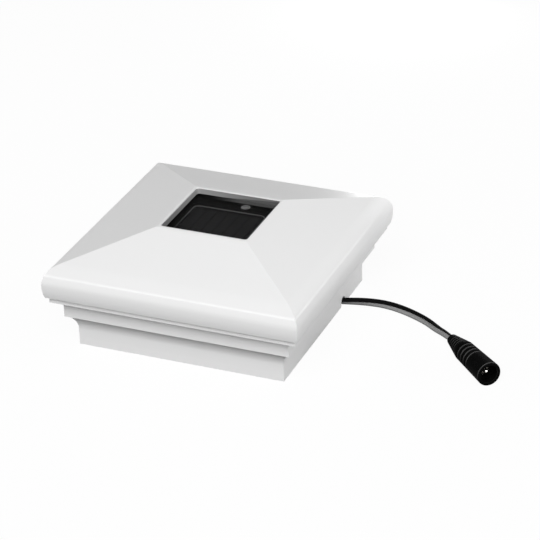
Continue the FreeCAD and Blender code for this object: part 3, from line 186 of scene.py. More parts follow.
def grey(level):
    return (level, level, level, 1.0)


# ---------------------------------------------------------------- finishes

def crisp_bend(paint, y, z):
    """A bump that makes the roof's rounded bend look crisper than it is.

    The slope goes on over the first part of the bend, turns off at a line, and a slight
    hollow follows under it. All this fades out towards the back, where no lamp reaches
    the flatter part. Angles are in radians round the bend, from the slope's foot.
    """
    radius = 10.1 * MM
    pitch = math.radians(14.5)
    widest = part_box("roof_shell")[1].z - 19.05 * MM     # the rim's widest line
    carried = 0.70          # how far the slope goes on
    flatness = 0.84         # how much of the bend is taken out there
    turn = 0.14             # how long the turn at the line is
    hollow = 0.26           # how far the hollow reaches, and its slope at the line
    hollow_slope = 0.2
    turned = z.maths("ARCCOSINE", (z - widest) / radius) - pitch

    def levelling(start, span):
        """Rises from the start on, ever less, and stays level after the span."""
        part = (turned - start).within(0.0, span)
        return part - part * part * (0.5 / span)

    cosine = z.maths("COSINE", turned.within(0.0, carried) * flatness)
    rise = z.maths("LOGARITHM", cosine, math.e) * (-1 / flatness)
    line = levelling(carried, turn) * math.tan(carried * flatness)
    under = levelling(carried + turn, hollow) * hollow_slope
    fade = 1.0 - y.clear_of(40 * MM, 20 * MM)
    return paint.bump((rise + line - under) * fade, radius)


def white_moulding():
    """Satin white plastic: fine mould grain, faint flow clouds, a trace of dust, and the
    tool's fine level lines below the roof's slope."""
    paint = Paint("white moulded plastic", {"IOR": 1.5, "Specular IOR Level": 0.02})
    flow = paint.grain(26, 3)
    dust_and_painted_light = paint.grain(420, 4)
    y, z = paint.axes()[1:]
    drawn = paint.grain(420, 2, paint.stretched((0.01, 0.01, 1.0)))
    drawn_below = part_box("roof_shell")[1].z - 11 * MM
    lines = (drawn - 0.5) * (1.0 - z.clear_of(drawn_below, 2 * MM))
    tone = (flow - 0.5) * 0.35 + 0.5 + lines * 0.9
    speck = dust_and_painted_light.clear_of(0.66, 0.05) * 0.25
    paint.set(Base_Color=paint.blend(tone + speck * 0.6, grey(0.86), grey(0.83)))
    paint.set(Roughness=0.36 + (flow - 0.5) * 0.12 + speck * 0.2 + lines * 0.2)
    fine = paint.grain(2600, 3)
    mould_grain = fine * 0.6 + paint.cells(1500) * 0.4
    paint.bump(mould_grain, 0.025 * MM, 0.35, crisp_bend(paint, y, z))
    return paint.material


def opal():
    """Milky diffuser: paler and glossier than the moulding, with fine prism lines."""
    paint = Paint("opal diffuser", {
        "IOR": 1.49, "Specular IOR Level": 0.4, "Subsurface Weight": 0.12,
        "Subsurface Scale": 0.002, "Subsurface Radius": (1, 1, 1)})
    cloud = paint.grain(90, 3)
    paint.set(Base_Color=paint.blend(cloud, grey(0.74), grey(0.79)))
    paint.set(Roughness=0.3 + cloud * 0.1)
    prisms_a_metre = 2500
    prism = abs((paint.axes()[2] * prisms_a_metre) % 1.0 - 0.5) * 2
    paint.bump(prism, 0.03 * MM, 0.3)
    return paint.material


def smoked_lens():
    """Clear hard-coated cover, nearly black over the tray, with a hairline scratch or two,
    a faint uneven film, and a paler band along its far edge that is painted light."""
    paint = Paint("clear cover", {"IOR": 1.42, "Specular IOR Level": 0.02})
    film = paint.grain(55, 3)
    x, y = paint.axes()[:2]
    # Painted light: a paler, less clear band along the far edge of the cover.
    dust_and_painted_light = y.clear_of(18.7 * MM, 0.5 * MM) * x.clear_of(-6 * MM, 12 * MM)
    dust_and_painted_light = dust_and_painted_light * (paint.grain(700, 3) * 0.6 + 0.7)
    paint.set(Base_Color=paint.blend(dust_and_painted_light, grey(0.006), grey(0.2)))
    scratch = paint.grain(500, 1, paint.stretched((1.0, 0.06, 1.0)))
    hair = scratch.clear_of(0.74, 0.02)
    paint.set(Roughness=0.05 + film * 0.06 + hair * 0.15)
    paint.set(Alpha=0.16 + film * 0.06 + hair * 0.03 + dust_and_painted_light * 0.2)
    paint.bump(scratch, 0.004 * MM, 0.2)
    return paint.material


def black_moulding():
    """Matt black tray plastic with a spark-eroded grain."""
    paint = Paint("black moulded plastic", {"IOR": 1.5, "Specular IOR Level": 0.06})
    wear = paint.grain(70, 3)
    fine = paint.cells(1900)
    paint.set(Base_Color=paint.blend(wear, grey(0.013), grey(0.023)))
    paint.set(Roughness=0.55 + wear * 0.2)
    paint.bump(fine, 0.03 * MM, 0.5)
    return paint.material


def cell_laminate():
    """Dark solar cells under resin, with crystal tone and the fingers' fine pitch."""
    paint = Paint("laminated solar cells", {"IOR": 1.5, "Specular IOR Level": 0.04})
    crystal = paint.cells(260)
    cloud = paint.grain(40, 2)
    fingers_a_metre = 620
    finger = abs((paint.axes()[1] * fingers_a_metre) % 1.0 - 0.5)
    finger = 1.0 - finger.clear_of(0.06, 0.03)
    base = paint.blend(crystal * 0.6 + cloud * 0.4, (0.006, 0.006, 0.0068, 1),
                       (0.0105, 0.0105, 0.0115, 1))
    paint.set(Base_Color=paint.blend(finger * 0.2, base, grey(0.03)))
    paint.set(Roughness=0.28 + cloud * 0.14)
    paint.bump(finger, 0.02 * MM, 0.4)
    return paint.material


def sensor_ceramic():
    """Pale ceramic face of the light sensor, with the darker edge of its case round it."""
    paint = Paint("sensor face", {"IOR": 1.5, "Specular IOR Level": 0.1})
    fleck = paint.grain(1800, 2)
    low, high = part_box("photocell")
    x, y = paint.axes()[:2]
    across = (x - (low.x + high.x) / 2) / MM
    along = (y - high.y) / MM + 2.3
    case = (across * across + along * along).clear_of(5.2, 0.7)
    face = paint.blend(fleck, grey(0.5), grey(0.64))
    paint.set(Base_Color=paint.blend(case, face, grey(0.07)))
    paint.set(Roughness=0.4 + fleck * 0.2)
    paint.bump(fleck, 0.01 * MM, 0.4)
    return paint.material


def sensor_track():
    """Dark cadmium-coloured track drawn back and forth on the sensor."""
    paint = Paint("sensor track", {"IOR": 1.5, "Specular IOR Level": 0.3})
    fleck = paint.grain(2500, 2)
    paint.set(Base_Color=paint.blend(fleck, grey(0.09), grey(0.14)))
    paint.set(Roughness=0.45 + fleck * 0.2)
    return paint.material


def seal_rubber():
    """Black closed-cell sealing strip with open pores on its cut faces."""
    paint = Paint("seal rubber", {"IOR": 1.5, "Specular IOR Level": 0.25})
    pore = paint.cells(1400)
    cloud = paint.grain(150, 3)
    paint.set(Base_Color=paint.blend(pore * 0.5 + cloud * 0.5, grey(0.012), grey(0.035)))
    paint.set(Roughness=0.75 + cloud * 0.15)
    paint.bump(pore, 0.06 * MM, 0.6)
    return paint.material


def window_seal():
    """Grey silicone that lines the window: a fine bloom, darker on the near side, painted shade
    at the wall's foot, and a paler strip at the +X wall that is painted light."""
    paint = Paint("grey silicone seal", {"IOR": 1.45, "Specular IOR Level": 0.05})
    cloud = paint.grain(120, 3)
    bloom = paint.grain(1500, 2)
    x, y, z = paint.axes()
    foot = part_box("window_lens")[1].z
    # Painted shade at the foot of the wall, reaching higher towards +X.
    low = 1.0 - (z - x * 0.075).clear_of(foot + 0.5 * MM, 0.2 * MM)
    upper = paint.blend(x.clear_of(-4 * MM, 20 * MM), grey(0.32), grey(0.17))
    # Painted light: a paler strip along the +X wall, lifting the shade there.
    upper = paint.blend(x.clear_of(22.9 * MM, 0.2 * MM), upper, grey(0.4))
    near = 1.0 - y.clear_of(0.0, 20 * MM)
    clean = paint.blend(near * 0.7, paint.blend(low, upper, grey(0.07)), grey(0.12))
    paint.set(Base_Color=paint.blend(cloud * 0.2 + bloom * 0.1, clean, grey(0.22)))
    paint.set(Roughness=0.55 + cloud * 0.2)
    paint.bump(bloom, 0.02 * MM, 0.4)
    return paint.material


def tray_edge():
    """Rolled edge of the panel's pocket, with a painted highlight: paler towards the far side.
    """
    paint = Paint("rubbed tray edge", {"IOR": 1.5, "Specular IOR Level": 0.1})
    rub = paint.grain(300, 3)
    # Painted highlight: the edge turns paler towards the far side.
    far = paint.axes()[1].clear_of(0.0, 12 * MM)
    paint.set(Base_Color=paint.blend(far * 0.85 + rub * 0.15, grey(0.04), grey(0.13)))
    paint.set(Roughness=0.5 + rub * 0.2)
    paint.bump(rub, 0.02 * MM, 0.4)
    return paint.material


def tinned_bar():
    """Dull tinned collector bars under the laminate's resin."""
    paint = Paint("tinned collector bars", {"IOR": 1.5, "Specular IOR Level": 0.1})
    dull = paint.grain(700, 2)
    paint.set(Base_Color=paint.blend(dull, grey(0.02), grey(0.035)))
    paint.set(Roughness=0.4 + dull * 0.2)
    return paint.material


def hook_up_wire():
    """Thin red vinyl wire with the faint rings of its spool."""
    paint = Paint("hook-up wire vinyl", {"IOR": 1.5, "Specular IOR Level": 0.4})
    ring = paint.grain(420, 2)
    paint.set(Base_Color=paint.blend(ring, (0.3, 0.02, 0.015, 1), (0.4, 0.04, 0.025, 1)))
    paint.set(Roughness=0.3 + ring * 0.2)
    paint.bump(ring, 0.01 * MM, 0.3)
    return paint.material


# The connector's length, its raised rings as (first, pitch, count, width) and its mouth's
# rim, in millimetres from its tail: where the painted highlights go.
CONNECTOR_LONG = 40.2
CONNECTOR_RINGS = ((16.1, 3.2, 4, 0.8), (4.1, 2.2, 4, 0.5))
CONNECTOR_RIM = (39.3, 39.8)


def boot_rubber():
    """Soft moulded vinyl of the connector: near black, with painted highlights on its crests."""
    paint = Paint("moulded boot", {"IOR": 1.5, "Specular IOR Level": 0.005})
    cloud = paint.grain(180, 4)
    fine = paint.grain(3200, 2)
    dust_and_painted_light = paint.grain(900, 3).clear_of(0.62, 0.06)
    jack = next(m for m in frame["record"]["mounts"] if m["name"] == "jack_mouth")
    outward = Vector(jack["axis"])
    along = paint.number("ShaderNodeVectorMath", {"operation": "DOT_PRODUCT"},
                         {0: paint.place, 1: outward}, 1)
    along = (along - outward.dot(Vector(jack["pos_m"]))) / MM + CONNECTOR_LONG
    # Painted highlights: the mouth's rim and the crests of the raised rings.
    crest = (along > CONNECTOR_RIM[0]) * (along < CONNECTOR_RIM[1])
    for first, pitch, count, wide in CONNECTOR_RINGS:
        gone = (along - first + pitch * 10) % pitch
        reach = (along > first - 0.1) * (along < first + pitch * (count - 1) + wide)
        crest = crest + (1.0 - gone.clear_of(wide, 0.2)) * reach
    # The painted highlights are stronger on the upper side, where the light falls.
    lit_upper_side = paint.axes()[2].clear_of(7 * MM, 3.5 * MM) * 0.9 + 0.1
    painted_highlight = crest * (0.35 + dust_and_painted_light * 0.2 + cloud * 0.4) * lit_upper_side
    black = paint.blend(cloud * 0.7 + dust_and_painted_light * 0.3, grey(0.0012), grey(0.005))
    paint.set(Base_Color=paint.blend(painted_highlight, black, grey(0.11)))
    paint.set(Roughness=0.42 + cloud * 0.2 + dust_and_painted_light * 0.1)
    paint.bump(fine, 0.02 * MM, 0.5)
    return paint.material


def screw_steel():
    """Stainless screws: turning rings on the heads and a rolled sheen."""
    paint = Paint("stainless screws", {"Metallic": 1.0, "IOR": 2.5})
    brushed = paint.grain(900, 3, paint.stretched((1.0, 1.0, 6.0)))
    stain = paint.grain(160, 3)
    paint.set(Base_Color=paint.blend(brushed * 0.5 + stain * 0.5, grey(0.46), grey(0.68)))
    paint.set(Roughness=0.24 + brushed * 0.2)
    paint.bump(brushed, 0.01 * MM, 0.4)
    return paint.material


def contact_metal():
    """Nickel plate with fine draw lines."""
    paint = Paint("nickel plated contact", {"Metallic": 1.0, "IOR": 2.0})
    line = paint.grain(1400, 2, paint.stretched((0.3, 1.0, 1.0)))
    stain = paint.grain(240, 3)
    paint.set(Base_Color=paint.blend(stain, (0.66, 0.64, 0.6, 1), (0.8, 0.79, 0.77, 1)))
    paint.set(Roughness=0.16 + line * 0.18)
    paint.bump(line, 0.006 * MM, 0.4)
    return paint.material


def circuit_board():
    """Green solder mask with the copper pattern's raised tracks just visible."""
    paint = Paint("solder-masked board", {
        "IOR": 1.5, "Coat Weight": 0.3, "Coat Roughness": 0.15})
    lanes = paint.cells(210, "DISTANCE_TO_EDGE")
    track = 1.0 - lanes.clear_of(0.07, 0.03)
    cloud = paint.grain(60, 3)
    mask = paint.blend(cloud, (0.012, 0.09, 0.035, 1), (0.02, 0.13, 0.05, 1))
    paint.set(Base_Color=paint.blend(track * 0.7, mask, (0.03, 0.2, 0.08, 1)))
    paint.set(Roughness=0.32 + cloud * 0.15)
    paint.bump(track, 0.03 * MM, 0.6)
    return paint.material


def phosphor():
    """Yellow phosphor gel of a white LED in its pale package."""
    paint = Paint("led package", {"IOR": 1.5, "Coat Weight": 0.4, "Coat Roughness": 0.08})
    fleck = paint.grain(2600, 2)
    paint.set(Base_Color=paint.blend(fleck, (0.82, 0.66, 0.16, 1), (0.9, 0.78, 0.3, 1)))
    paint.set(Roughness=0.3 + fleck * 0.15)
    paint.bump(fleck, 0.01 * MM, 0.3)
    return paint.material


def cell_sleeve():
    """Blue shrink sleeve: glossy film with a heat seam and shrink wrinkles."""
    paint = Paint("shrink sleeve", {"IOR": 1.5, "Coat Weight": 0.3, "Coat Roughness": 0.1})
    wrinkle = paint.grain(220, 3, paint.stretched((4.0, 1.0, 1.0)))
    y = paint.axes()[1]
    seam = 1.0 - abs(y + 20 * MM).clear_of(0.6 * MM, 0.3 * MM)
    film = paint.blend(wrinkle, (0.02, 0.06, 0.2, 1), (0.035, 0.09, 0.27, 1))
    paint.set(Base_Color=paint.blend(seam * 0.4, film, (0.015, 0.04, 0.14, 1)))
    paint.set(Roughness=0.25 + wrinkle * 0.15)
    paint.bump(wrinkle + seam, 0.04 * MM, 0.4)
    return paint.material


def coil_ferrite():
    """Sintered ferrite: charcoal grey and grainy."""
    paint = Paint("ferrite drum", {"IOR": 1.6, "Specular IOR Level": 0.3})
    grain = paint.grain(1500, 3)
    paint.set(Base_Color=paint.blend(grain, grey(0.025), grey(0.07)))
    paint.set(Roughness=0.6 + grain * 0.25)
    paint.bump(grain, 0.04 * MM, 0.6)
    return paint.material


def socket_nylon():
    """Natural nylon wire sockets, slightly yellow and waxy."""
    paint = Paint("natural nylon", {
        "IOR": 1.53, "Subsurface Weight": 0.1, "Subsurface Scale": 0.001,
        "Subsurface Radius": (1, 1, 1)})
    cloud = paint.grain(300, 3)
    paint.set(Base_Color=paint.blend(cloud, (0.72, 0.69, 0.58, 1), (0.8, 0.77, 0.67, 1)))
    paint.set(Roughness=0.38 + cloud * 0.18)
    paint.bump(cloud, 0.02 * MM, 0.3)
    return paint.material


def twin_lead():
    """Vinyl of the twin cord: one core black, one grey, by the cord's own UV map."""
    paint = Paint("twin lead vinyl", {"IOR": 1.5, "Specular IOR Level": 0.02})
    around = paint.node("ShaderNodeUVMap", {"uv_map": "around"}, {}).outputs["UV"]
    core = paint.axes(around)[0].clear_of(0.5, 0.012)
    cloud = paint.grain(260, 3)
    streak = paint.grain(60, 2, paint.node("ShaderNodeMapping", {}, {
        "Vector": around, "Scale": (2.0, 0.05, 1.0)}).outputs["Vector"])
    black = paint.blend(cloud, grey(0.002), grey(0.006))
    pale = paint.blend(cloud * 0.5 + streak * 0.5, grey(0.2), grey(0.28))
    paint.set(Base_Color=paint.blend(core, black, pale))
    paint.set(Roughness=0.38 + cloud * 0.18)
    paint.bump(cloud, 0.02 * MM, 0.4)
    return paint.material


# How much light the table gives back before the cap, on its right, and behind or on its
# left, and how far its own lighting shows in the white that the camera sees.
TABLE_NEAR = 0.1
TABLE_RIGHT = 0.2
TABLE_FAR = 0.8
TABLE_SHADOW = 0.05


def table_top():
    """Pale table: white with a soft shadow for the camera. The light that it gives back
    comes mostly from behind and beside the cap, as from cards laid round it."""
    paint = Paint("pale table", {"Roughness": 0.9, "Specular IOR Level": 0.0})
    x, y = paint.axes()[:2]
    behind = y.clear_of(50 * MM, 30 * MM)
    left = (1.0 - x.clear_of(-85 * MM, 20 * MM)) * y.clear_of(0.0, 30 * MM)
    right = x.clear_of(75 * MM, 20 * MM)
    tone = paint.blend(right, grey(TABLE_NEAR), grey(TABLE_RIGHT))
    far = 1.0 - (1.0 - behind) * (1.0 - left)
    paint.set(Base_Color=paint.blend(far, tone, grey(TABLE_FAR)))
    rays = paint.node("ShaderNodeLightPath", {}, {}).outputs
    seen = Shade(paint, rays["Is Camera Ray"]) + Shade(paint, rays["Is Glossy Ray"])
    seen = (seen + Shade(paint, rays["Is Transmission Ray"])) > 0.5
    glow = paint.node("ShaderNodeEmission", {}, {"Color": grey(1.0), "Strength": 1.0})
    white = paint.node("ShaderNodeBsdfDiffuse", {}, {"Color": grey(0.9)})
    shown = paint.node("ShaderNodeMixShader", {}, {
        0: TABLE_SHADOW, 1: glow.outputs[0], 2: white.outputs[0]})
    both = paint.node("ShaderNodeMixShader", {}, {
        0: seen, 1: paint.surface.outputs[0], 2: shown.outputs[0]})
    paint.tree.links.new(both.outputs[0], paint.output.inputs["Surface"])
    return paint.material


# ---------------------------------------------------------------- mesh helpers

def solid_object(name, bm, material, smooth=True):
    """Clean a bmesh, turn its faces outwards and link it as an object at the origin."""
    bmesh.ops.remove_doubles(bm, verts=bm.verts, dist=1e-7)
    bmesh.ops.recalc_face_normals(bm, faces=bm.faces)
    for face in bm.faces:
        face.smooth = smooth
    mesh = bpy.data.meshes.new(name)
    bm.to_mesh(mesh)
    bm.free()
    mesh.materials.append(material)
    made = bpy.data.objects.new(name, mesh)
    scene.collection.objects.link(made)
    return made


def baked(thing, material=None):
    """Turn an object with modifiers, or a curve, into a plain mesh object of the same name."""
    graph = bpy.context.evaluated_depsgraph_get()
    graph.update()
    mesh = bpy.data.meshes.new_from_object(thing.evaluated_get(graph))
    name = thing.name
    bpy.data.objects.remove(thing)
    mesh.name = name
    made = bpy.data.objects.new(name, mesh)
    if material:
        mesh.materials.clear()
        mesh.materials.append(material)
    scene.collection.objects.link(made)
    return made


def lathe(bm, profile, steps):
    """Turn a profile of (radius, height), from axis to axis, about the vertical axis."""
    rings = []
    for radius, height in profile:
        count = steps if radius > 0 else 1
        angles = [2 * math.pi * k / steps for k in range(count)]
        rings.append([bm.verts.new((radius * math.cos(a), radius * math.sin(a), height))
                      for a in angles])
    for lower, upper in zip(rings, rings[1:]):
        for k in range(steps):
            ring = [lower[k % len(lower)], lower[(k + 1) % len(lower)],
                    upper[(k + 1) % len(upper)], upper[k % len(upper)]]
            corners = [v for i, v in enumerate(ring) if v not in ring[:i]]
            if len(corners) > 2:
                bm.faces.new(corners)


def grid_of_copies():
    """Geometry Nodes tree: the object's own mesh repeated on a flat grid."""
    tree = bpy.data.node_groups.new("copies on a grid", "GeometryNodeTree")
    face = tree.interface
    face.new_socket("Geometry", in_out="INPUT", socket_type="NodeSocketGeometry")
    for name, kind in (("Across", "Int"), ("Along", "Int"), ("Pitch across", "Float"),
                       ("Pitch along", "Float"), ("First place", "Vector"),
                       ("Finish", "Material")):
        face.new_socket(name, in_out="INPUT", socket_type="NodeSocket" + kind)
    face.new_socket("Geometry", in_out="OUTPUT", socket_type="NodeSocketGeometry")

    def node(kind, settings, sockets):
        return add_node(tree, kind, settings, sockets)

    given = node("NodeGroupInput", {}, {}).outputs
    across = node("ShaderNodeCombineXYZ", {}, {"X": given["Pitch across"]}).outputs[0]
    along = node("ShaderNodeCombineXYZ", {}, {"Y": given["Pitch along"]}).outputs[0]
    row = node("GeometryNodeMeshLine", {"mode": "OFFSET"}, {
        "Count": given["Across"], "Start Location": given["First place"], "Offset": across})
    column = node("GeometryNodeMeshLine", {"mode": "OFFSET"}, {
        "Count": given["Along"], "Offset": along})
    field = node("GeometryNodeInstanceOnPoints", {}, {
        "Points": row.outputs[0], "Instance": column.outputs[0]})
    spots = node("GeometryNodeRealizeInstances", {}, {"Geometry": field.outputs[0]})
    placed = node("GeometryNodeInstanceOnPoints", {}, {
        "Points": spots.outputs[0], "Instance": given["Geometry"]})
    whole = node("GeometryNodeRealizeInstances", {}, {"Geometry": placed.outputs[0]})
    painted = node("GeometryNodeSetMaterial", {}, {
        "Geometry": whole.outputs[0], "Material": given["Finish"]})
    node("NodeGroupOutput", {}, {"Geometry": painted.outputs[0]})
    return tree


def repeat(pattern, tree, **inputs):
    """Repeat an object's mesh with the tree and keep the result as a plain mesh."""
    modifier = pattern.modifiers.new("copies", "NODES")
    modifier.node_group = tree
    for item in tree.interface.items_tree:
        key = item.name.replace(" ", "_").lower()
        if item.in_out == "INPUT" and key in inputs:
            modifier[item.identifier] = inputs[key]
    return baked(pattern)


# ---------------------------------------------------------------- the lead

# The route of the lead from the gland to the connector, in millimetres, as are the
# sizes that follow.
LEAD_ROUTE = [
    (13.6, 9.4, 22.8), (13.6, 9.4, 14.1), (17.6, 11.1, 6.6), (24.5, 14.0, 2.25),
    (34.3, 18.9, 2.25), (44.9, 23.9, 2.25), (55.6, 26.9, 2.25), (66.7, 30.2, 2.25),
    (78.7, 30.6, 2.25), (90.6, 26.9, 2.25), (101.8, 21.1, 2.4), (110.4, 13.3, 3.2),
    (116.0, 8.4, 4.4), (121.3, 3.6, 4.84)]
CORE_RADIUS = 1.14
CORE_OUT = 1.02         # from the cord's middle to a core's middle
CORE_STEPS = 13
SKIRT_X = 55.0          # outer face of the skirt that the lead passes under
LEAN_AT_SKIRT = 63.0    # how far the cord is rolled about its own line, in degrees
LEAN_AT_PLUG = 199.0


def lead_line():
    """Points along the smooth line of the lead, read from its NURBS spline."""
    curve = bpy.data.curves.new("lead line", "CURVE")
    curve.dimensions = "3D"
    curve.resolution_u = 16
    spline = curve.splines.new("NURBS")
    spline.points.add(len(LEAD_ROUTE) - 1)
    for point, spot in zip(spline.points, LEAD_ROUTE):
        point.co = (*[c * MM for c in spot], 1)
    spline.order_u = 3
    spline.use_endpoint_u = True
    thing = bpy.data.objects.new("lead line", curve)
    scene.collection.objects.link(thing)
    graph = bpy.context.evaluated_depsgraph_get()
    mesh = bpy.data.meshes.new_from_object(thing.evaluated_get(graph))
    line = [v.co.copy() for v in mesh.vertices]
    bpy.data.objects.remove(thing)
    bpy.data.meshes.remove(mesh)
    return line


def figure_eight():
    """Section of the twin cord as (across, out, which core), the black core first."""
    waist = math.acos(-CORE_OUT / CORE_RADIUS)
    section = []
    # The black core has both waist points, so the grey core's arc leaves out its ends.
    for core, side, places, spans in ((0, 1, range(CORE_STEPS), CORE_STEPS - 1),
                                      (1, -1, range(1, CORE_STEPS), CORE_STEPS)):
        for k in places:
            angle = -waist + 2 * waist * k / spans
            section.append((side * (CORE_OUT + CORE_RADIUS * math.cos(angle)) * MM,
                            side * CORE_RADIUS * math.sin(angle) * MM,
                            core))
    return section


def level_rights(tangents):
    """A level direction across the line at each point; where it climbs steeply, the one
    from the next point carried on."""
    steep = 0.5
    rights = [None] * len(tangents)
    for k in reversed(range(len(tangents))):
        flat = tangents[k].cross(Vector((0, 0, 1)))
        if flat.length < steep and k + 1 < len(tangents):
            flat = rights[k + 1] - tangents[k] * rights[k + 1].dot(tangents[k])
        rights[k] = flat.normalized()
    return rights


def make_lead(material):
    """The twin cord: its section moved along the line, rolled slowly towards the plug."""
    line = lead_line()
    tangents = [(after - before).normalized()
                for before, after in zip(line[:1] + line[:-1], line[1:] + line[-1:])]
    rights = level_rights(tangents)
    gone = [0.0]
    for before, after in zip(line, line[1:]):
        gone.append(gone[-1] + (after - before).length)
    leaves = next(d for d, p in zip(gone, line) if p.x > SKIRT_X * MM)
    section = figure_eight()
    bm = bmesh.new()
    layer = bm.loops.layers.uv.new("around")
    rings = []
    for point, tangent, right, distance in zip(line, tangents, rights, gone):
        share = max(0.0, (distance - leaves) / (gone[-1] - leaves))
        lean = math.radians(LEAN_AT_SKIRT + (LEAN_AT_PLUG - LEAN_AT_SKIRT) * share)
        up = right.cross(tangent)
        across = right * math.cos(lean) + up * math.sin(lean)
        out = tangent.cross(across)
        rings.append([bm.verts.new(point + across * a + out * o) for a, o, core in section])
    count = len(section)
    for index, (near, far) in enumerate(zip(rings, rings[1:])):
        for k in range(count):
            after = (k + 1) % count
            face = bm.faces.new((near[k], near[after], far[after], far[k]))
            face.smooth = True
            core = section[k][2]
            if core != section[after][2]:
                core = int(k == count // 2)
            ends = (gone[index], gone[index], gone[index + 1], gone[index + 1])
            for loop, end in zip(face.loops, ends):
                loop[layer].uv = (0.25 + 0.5 * core, end / MM)
    bm.faces.new(rings[0])
    bm.faces.new(rings[-1])
    bmesh.ops.recalc_face_normals(bm, faces=bm.faces)
    mesh = bpy.data.meshes.new("twin_lead")
    bm.to_mesh(mesh)
    bm.free()
    mesh.materials.append(material)
    lead = bpy.data.objects.new("twin_lead", mesh)
    scene.collection.objects.link(lead)
    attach(lead, "cap")
    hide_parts("output_lead")


# ---------------------------------------------------------------- screws

THREAD_PITCH = 0.55 * MM
SCREW_STEPS = 28


def screw_profile(head_radius, head_tall, long):
    """Pan head, thread crests and point as (radius, height), from the head's face up."""
    shank = head_radius * 0.53
    root = shank * 0.82
    profile = [(0, 0), (head_radius * 0.55, 0.0), (head_radius * 0.8, head_tall * 0.1),
               (head_radius * 0.95, head_tall * 0.3), (head_radius, head_tall * 0.6),
               (head_radius, head_tall * 0.92), (head_radius * 0.96, head_tall),
               (shank * 0.85, head_tall)]
    turns = max(4, int(long / THREAD_PITCH))
    pitch = (long - shank) / turns
    for k in range(turns):
        base = head_tall + pitch * k
        profile += [(root, base + pitch * 0.25), (shank, base + pitch * 0.6),
                    (root, base + pitch * 0.95)]
    return profile + [(shank * 0.5, head_tall + long - shank * 0.3), (0, head_tall + long)]


def cross_recess(head_radius, head_tall):
    """Two crossed, tapered bars: what the driver's recess takes out of the head."""
    bm = bmesh.new()
    arm = head_radius * 0.5
    wide = head_radius * 0.13
    for half_x, half_y in ((arm, wide), (wide, arm)):
        corners = [(x * half_x, y * half_y) for x, y in ((-1, -1), (1, -1), (1, 1), (-1, 1))]
        lows = [bm.verts.new((x * 1.15, y * 1.15, -0.3 * MM)) for x, y in corners]
        tops = [bm.verts.new((x * 0.55, y * 0.8, head_tall * 0.62)) for x, y in corners]
        bm.faces.new(lows)
        bm.faces.new(tops)
        for k in range(4):
            bm.faces.new((lows[k], lows[(k + 1) % 4], tops[(k + 1) % 4], tops[k]))
    return bm


def make_screws(name, node, tree, finish, across, along, head_radius, head_tall):
    """Pan-head screws with a cross recess below and a rolled thread above."""
    low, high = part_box(node)
    bm = bmesh.new()
    lathe(bm, screw_profile(head_radius, head_tall, high.z - low.z - head_tall), SCREW_STEPS)
    screw = solid_object(name, bm, finish)
    cutter = solid_object(name + "_recess", cross_recess(head_radius, head_tall), finish, False)
    boolean = screw.modifiers.new("recess", "BOOLEAN")
    boolean.operation = "DIFFERENCE"
    boolean.solver = "EXACT"
    boolean.use_self = True
    boolean.object = cutter
    screw = baked(screw)
    bpy.data.objects.remove(cutter)
    spread = Vector((high.x - low.x - 2 * head_radius, high.y - low.y - 2 * head_radius))
    row = repeat(screw, tree, across=across, along=along,
                 pitch_across=spread.x / max(1, across - 1),
                 pitch_along=spread.y / max(1, along - 1),
                 first_place=Vector((low.x + head_radius, low.y + head_radius, low.z)),
                 finish=finish)
    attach(row, "cap")
    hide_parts(node)


# ---------------------------------------------------------------- window details

def ribbon(name, spots, radius, height, material, closed=False):
    """A low rounded bead along flat spots, all at one height."""
    curve = bpy.data.curves.new(name, "CURVE")
    curve.dimensions = "3D"
    curve.bevel_depth = radius
    curve.bevel_resolution = 2
    curve.use_fill_caps = not closed
    spline = curve.splines.new("POLY")
    spline.points.add(len(spots) - 1)
    for point, spot in zip(spline.points, spots):
        point.co = (spot[0], spot[1], height, 1)
    spline.use_cyclic_u = closed
    thing = bpy.data.objects.new(name, curve)
    scene.collection.objects.link(thing)
    return baked(thing, material)


def rounded_rectangle(west, east, south, north, radius, steps=8):
    """Flat spots round a rectangle with rounded corners, from the south-east corner on."""
    spots = []
    for x, y, start in ((east - radius, south + radius, -90),
                        (east - radius, north - radius, 0),
                        (west + radius, north - radius, 90),
                        (west + radius, south + radius, 180)):
        for k in range(steps + 1):
            angle = math.radians(start + 90 * k / steps)
            spots.append((x + radius * math.cos(angle), y + radius * math.sin(angle)))
    return spots


def make_sensor_track(material):
    """The serpentine on the photocell's face."""
    low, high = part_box("photocell")
    middle = (low + high) / 2
    radius = (high.x - low.x) / 2 * 0.72
    rows = 5
    spots = []
    for k in range(rows):
        y = (k / (rows - 1) * 2 - 1) * radius * 0.8
        half = math.sqrt(max(0.0, radius ** 2 - y ** 2))
        direction = 1 if k % 2 == 0 else -1
        spots.append((middle.x - half * direction, middle.y + y))
        spots.append((middle.x + half * direction, middle.y + y))
    track = ribbon("sensor_track", spots, 0.16 * MM, high.z, material)
    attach(track, "cap")


def make_panel_bezel(material):
    """Thin rolled edge round the panel's pocket in the tray."""
    low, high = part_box("solar_panel")
    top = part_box("panel_tray")[1].z
    edge = 0.45 * MM
    corner = 3.2 * MM
    sunk = 0.22 * MM
    spots = rounded_rectangle(low.x - edge, high.x + edge, low.y - edge, high.y + edge, corner)
    bead = ribbon("panel_bezel", spots, 0.3 * MM, top - sunk, material, True)
    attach(bead, "cap")


